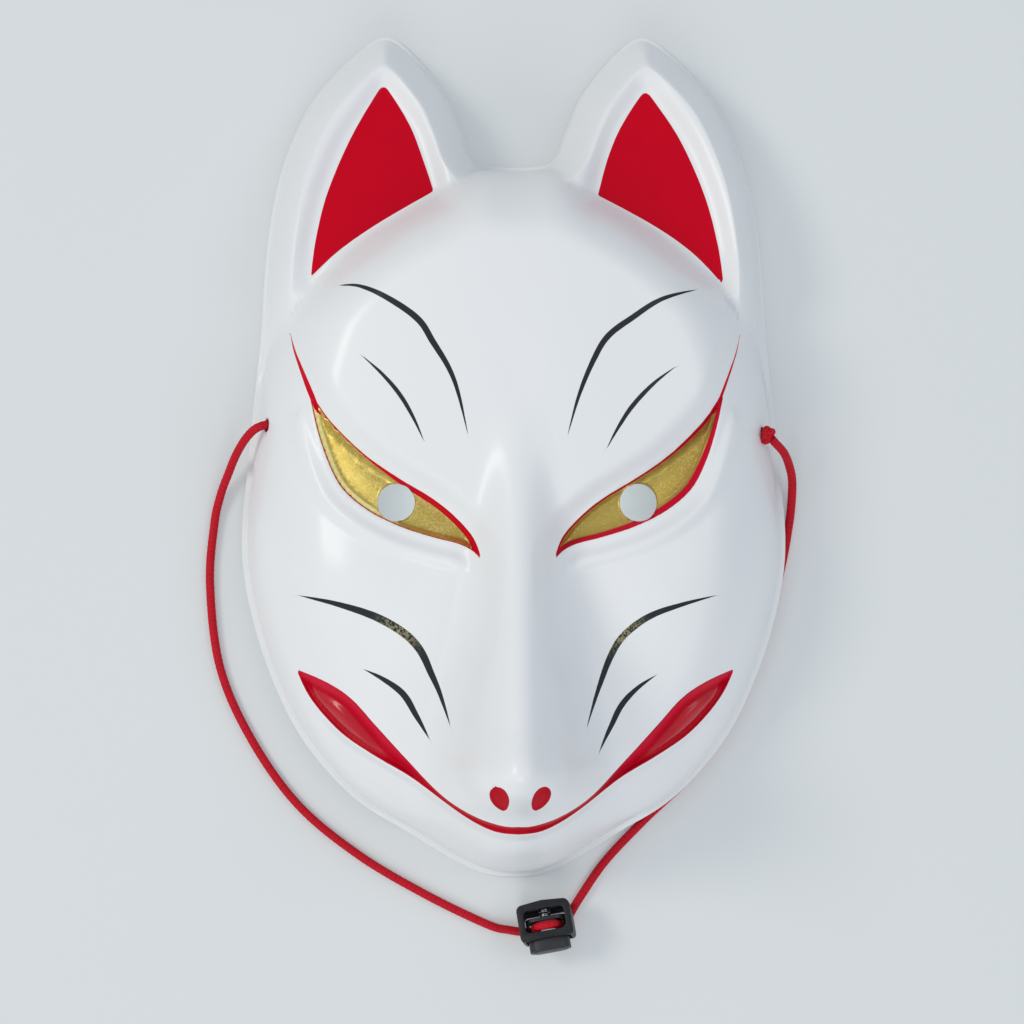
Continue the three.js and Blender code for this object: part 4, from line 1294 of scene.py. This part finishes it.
@dataclass(frozen=True)
class Lamp:
    """A square soft light: its place and what it faces in metres, its side, its power in watts and its tint."""

    name: str
    place: Triple
    size: float
    watts: float
    colour: Triple
    aim: Triple = (0.0, 0.0, 0.02)

    def hang(self) -> None:
        """Put the light into the scene."""
        data = bpy.data.lights.new(self.name, "AREA")
        data.shape, data.size, data.energy, data.color = "SQUARE", self.size, self.watts, self.colour
        turn = (Vector(self.aim) - Vector(self.place)).to_track_quat("-Z", "Y").to_matrix().to_4x4()
        linked(self.name, data).matrix_world = Matrix.Translation(self.place) @ turn


@dataclass
class Studio:
    """The table, the lights and the camera."""

    eye: Triple = (-0.025, -0.0164, 1.0)
    target: Triple = (-0.0005, -0.0164, 0.0)
    focal_pixels: float = 3350.0
    frame_pixels: float = 1024.0
    sensor: float = 36.0
    far: float = 20.0
    reach: float = 4000.0
    sky: Sizes = (0.855, 0.91, 1.0, 1.0)
    sky_strength: float = 0.63
    table: PaleTable = PaleTable()
    key: Lamp = Lamp("key", (-1.5, 0.42, 1.52), 0.6, 14.5, (1.0, 0.94, 0.83))
    fill: Lamp = Lamp("fill", (-0.1, -1.35, 1.17), 0.8, 6.5, (1.0, 0.98, 0.95))
    side: Lamp = Lamp("side", (1.25, 0.35, 1.6), 0.9, 4.6, (0.93, 0.97, 1.0))
    under: Lamp = Lamp("under", (0.0, -0.014, 0.03), 0.055, 0.02, (0.93, 0.98, 1.0), (0.0, -0.014, 0.0))

    def camera(self) -> None:
        """Look down on the mask as the photograph does."""
        data = bpy.data.cameras.new("view")
        data.sensor_width = self.sensor
        data.lens = self.sensor * self.focal_pixels / self.frame_pixels
        data.clip_end = self.far
        back = (Vector(self.eye) - Vector(self.target)).normalized()
        across = Vector((0.0, 1.0, 0.0)).cross(back).normalized()
        turn = Matrix((across, back.cross(across), back)).transposed().to_4x4()
        camera = linked("view", data)
        camera.matrix_world = Matrix.Translation(self.eye) @ turn
        bpy.context.scene.camera = camera

    def floor(self) -> None:
        """Lay the table top: a wide flat sheet whose height is zero."""
        corners = self.reach * np.array([(-1, -1, 0), (1, -1, 0), (1, 1, 0), (-1, 1, 0)])
        top = new_object("table_top", corners, [[0, 1, 2, 3]])
        top.data.materials.append(self.table.material())

    def light(self) -> None:
        """A large soft key from high on the left, weaker ones from the chin's side and the right, a small one
        under the mask that keeps the table behind the eye holes as bright as around it, and a pale surround."""
        for lamp in (self.key, self.fill, self.side, self.under):
            lamp.hang()
        world = bpy.data.worlds.new("surround")
        world.use_nodes = True
        sky = world.node_tree.nodes["Background"]
        sky.inputs[0].default_value, sky.inputs[1].default_value = self.sky, self.sky_strength
        bpy.context.scene.world = world
        bpy.context.scene.view_settings.view_transform = "Standard"


def main() -> None:
    """Build the studio, the cord with its pieces and the shell, and log each piece."""
    logging.basicConfig(level=logging.INFO, format="%(name)s: %(message)s")
    studio = Studio()
    studio.camera()
    pose = LockPose()
    lock, cord = CordLock(pose), Elastic(lock=pose)
    knots = [Knot(), Knot(name="knot_outside", node="cord_knot_right", centre=(73.95, 6.3, 19.5),
                          angles=(25.0, 20.0, -12.0), size=(0.44, 0.72, 0.5))]
    lock_pieces = lock.build()
    knot_pieces = [knot.build() for knot in knots]
    cord_piece = cord.build()
    shell = MaskShell()
    skin = shell.build()
    shell.dress(skin)
    cord.dress(cord_piece)
    lock.dress(lock_pieces)
    for knot, piece in zip(knots, knot_pieces):
        knot.dress(piece)
    studio.floor()
    studio.light()
    for piece in [skin, cord_piece, *knot_pieces, *lock_pieces]:
        piece.data.calc_loop_triangles()
        LOG.info("%s: %d triangles", piece.name, len(piece.data.loop_triangles))


if __name__ == "__main__":
    main()
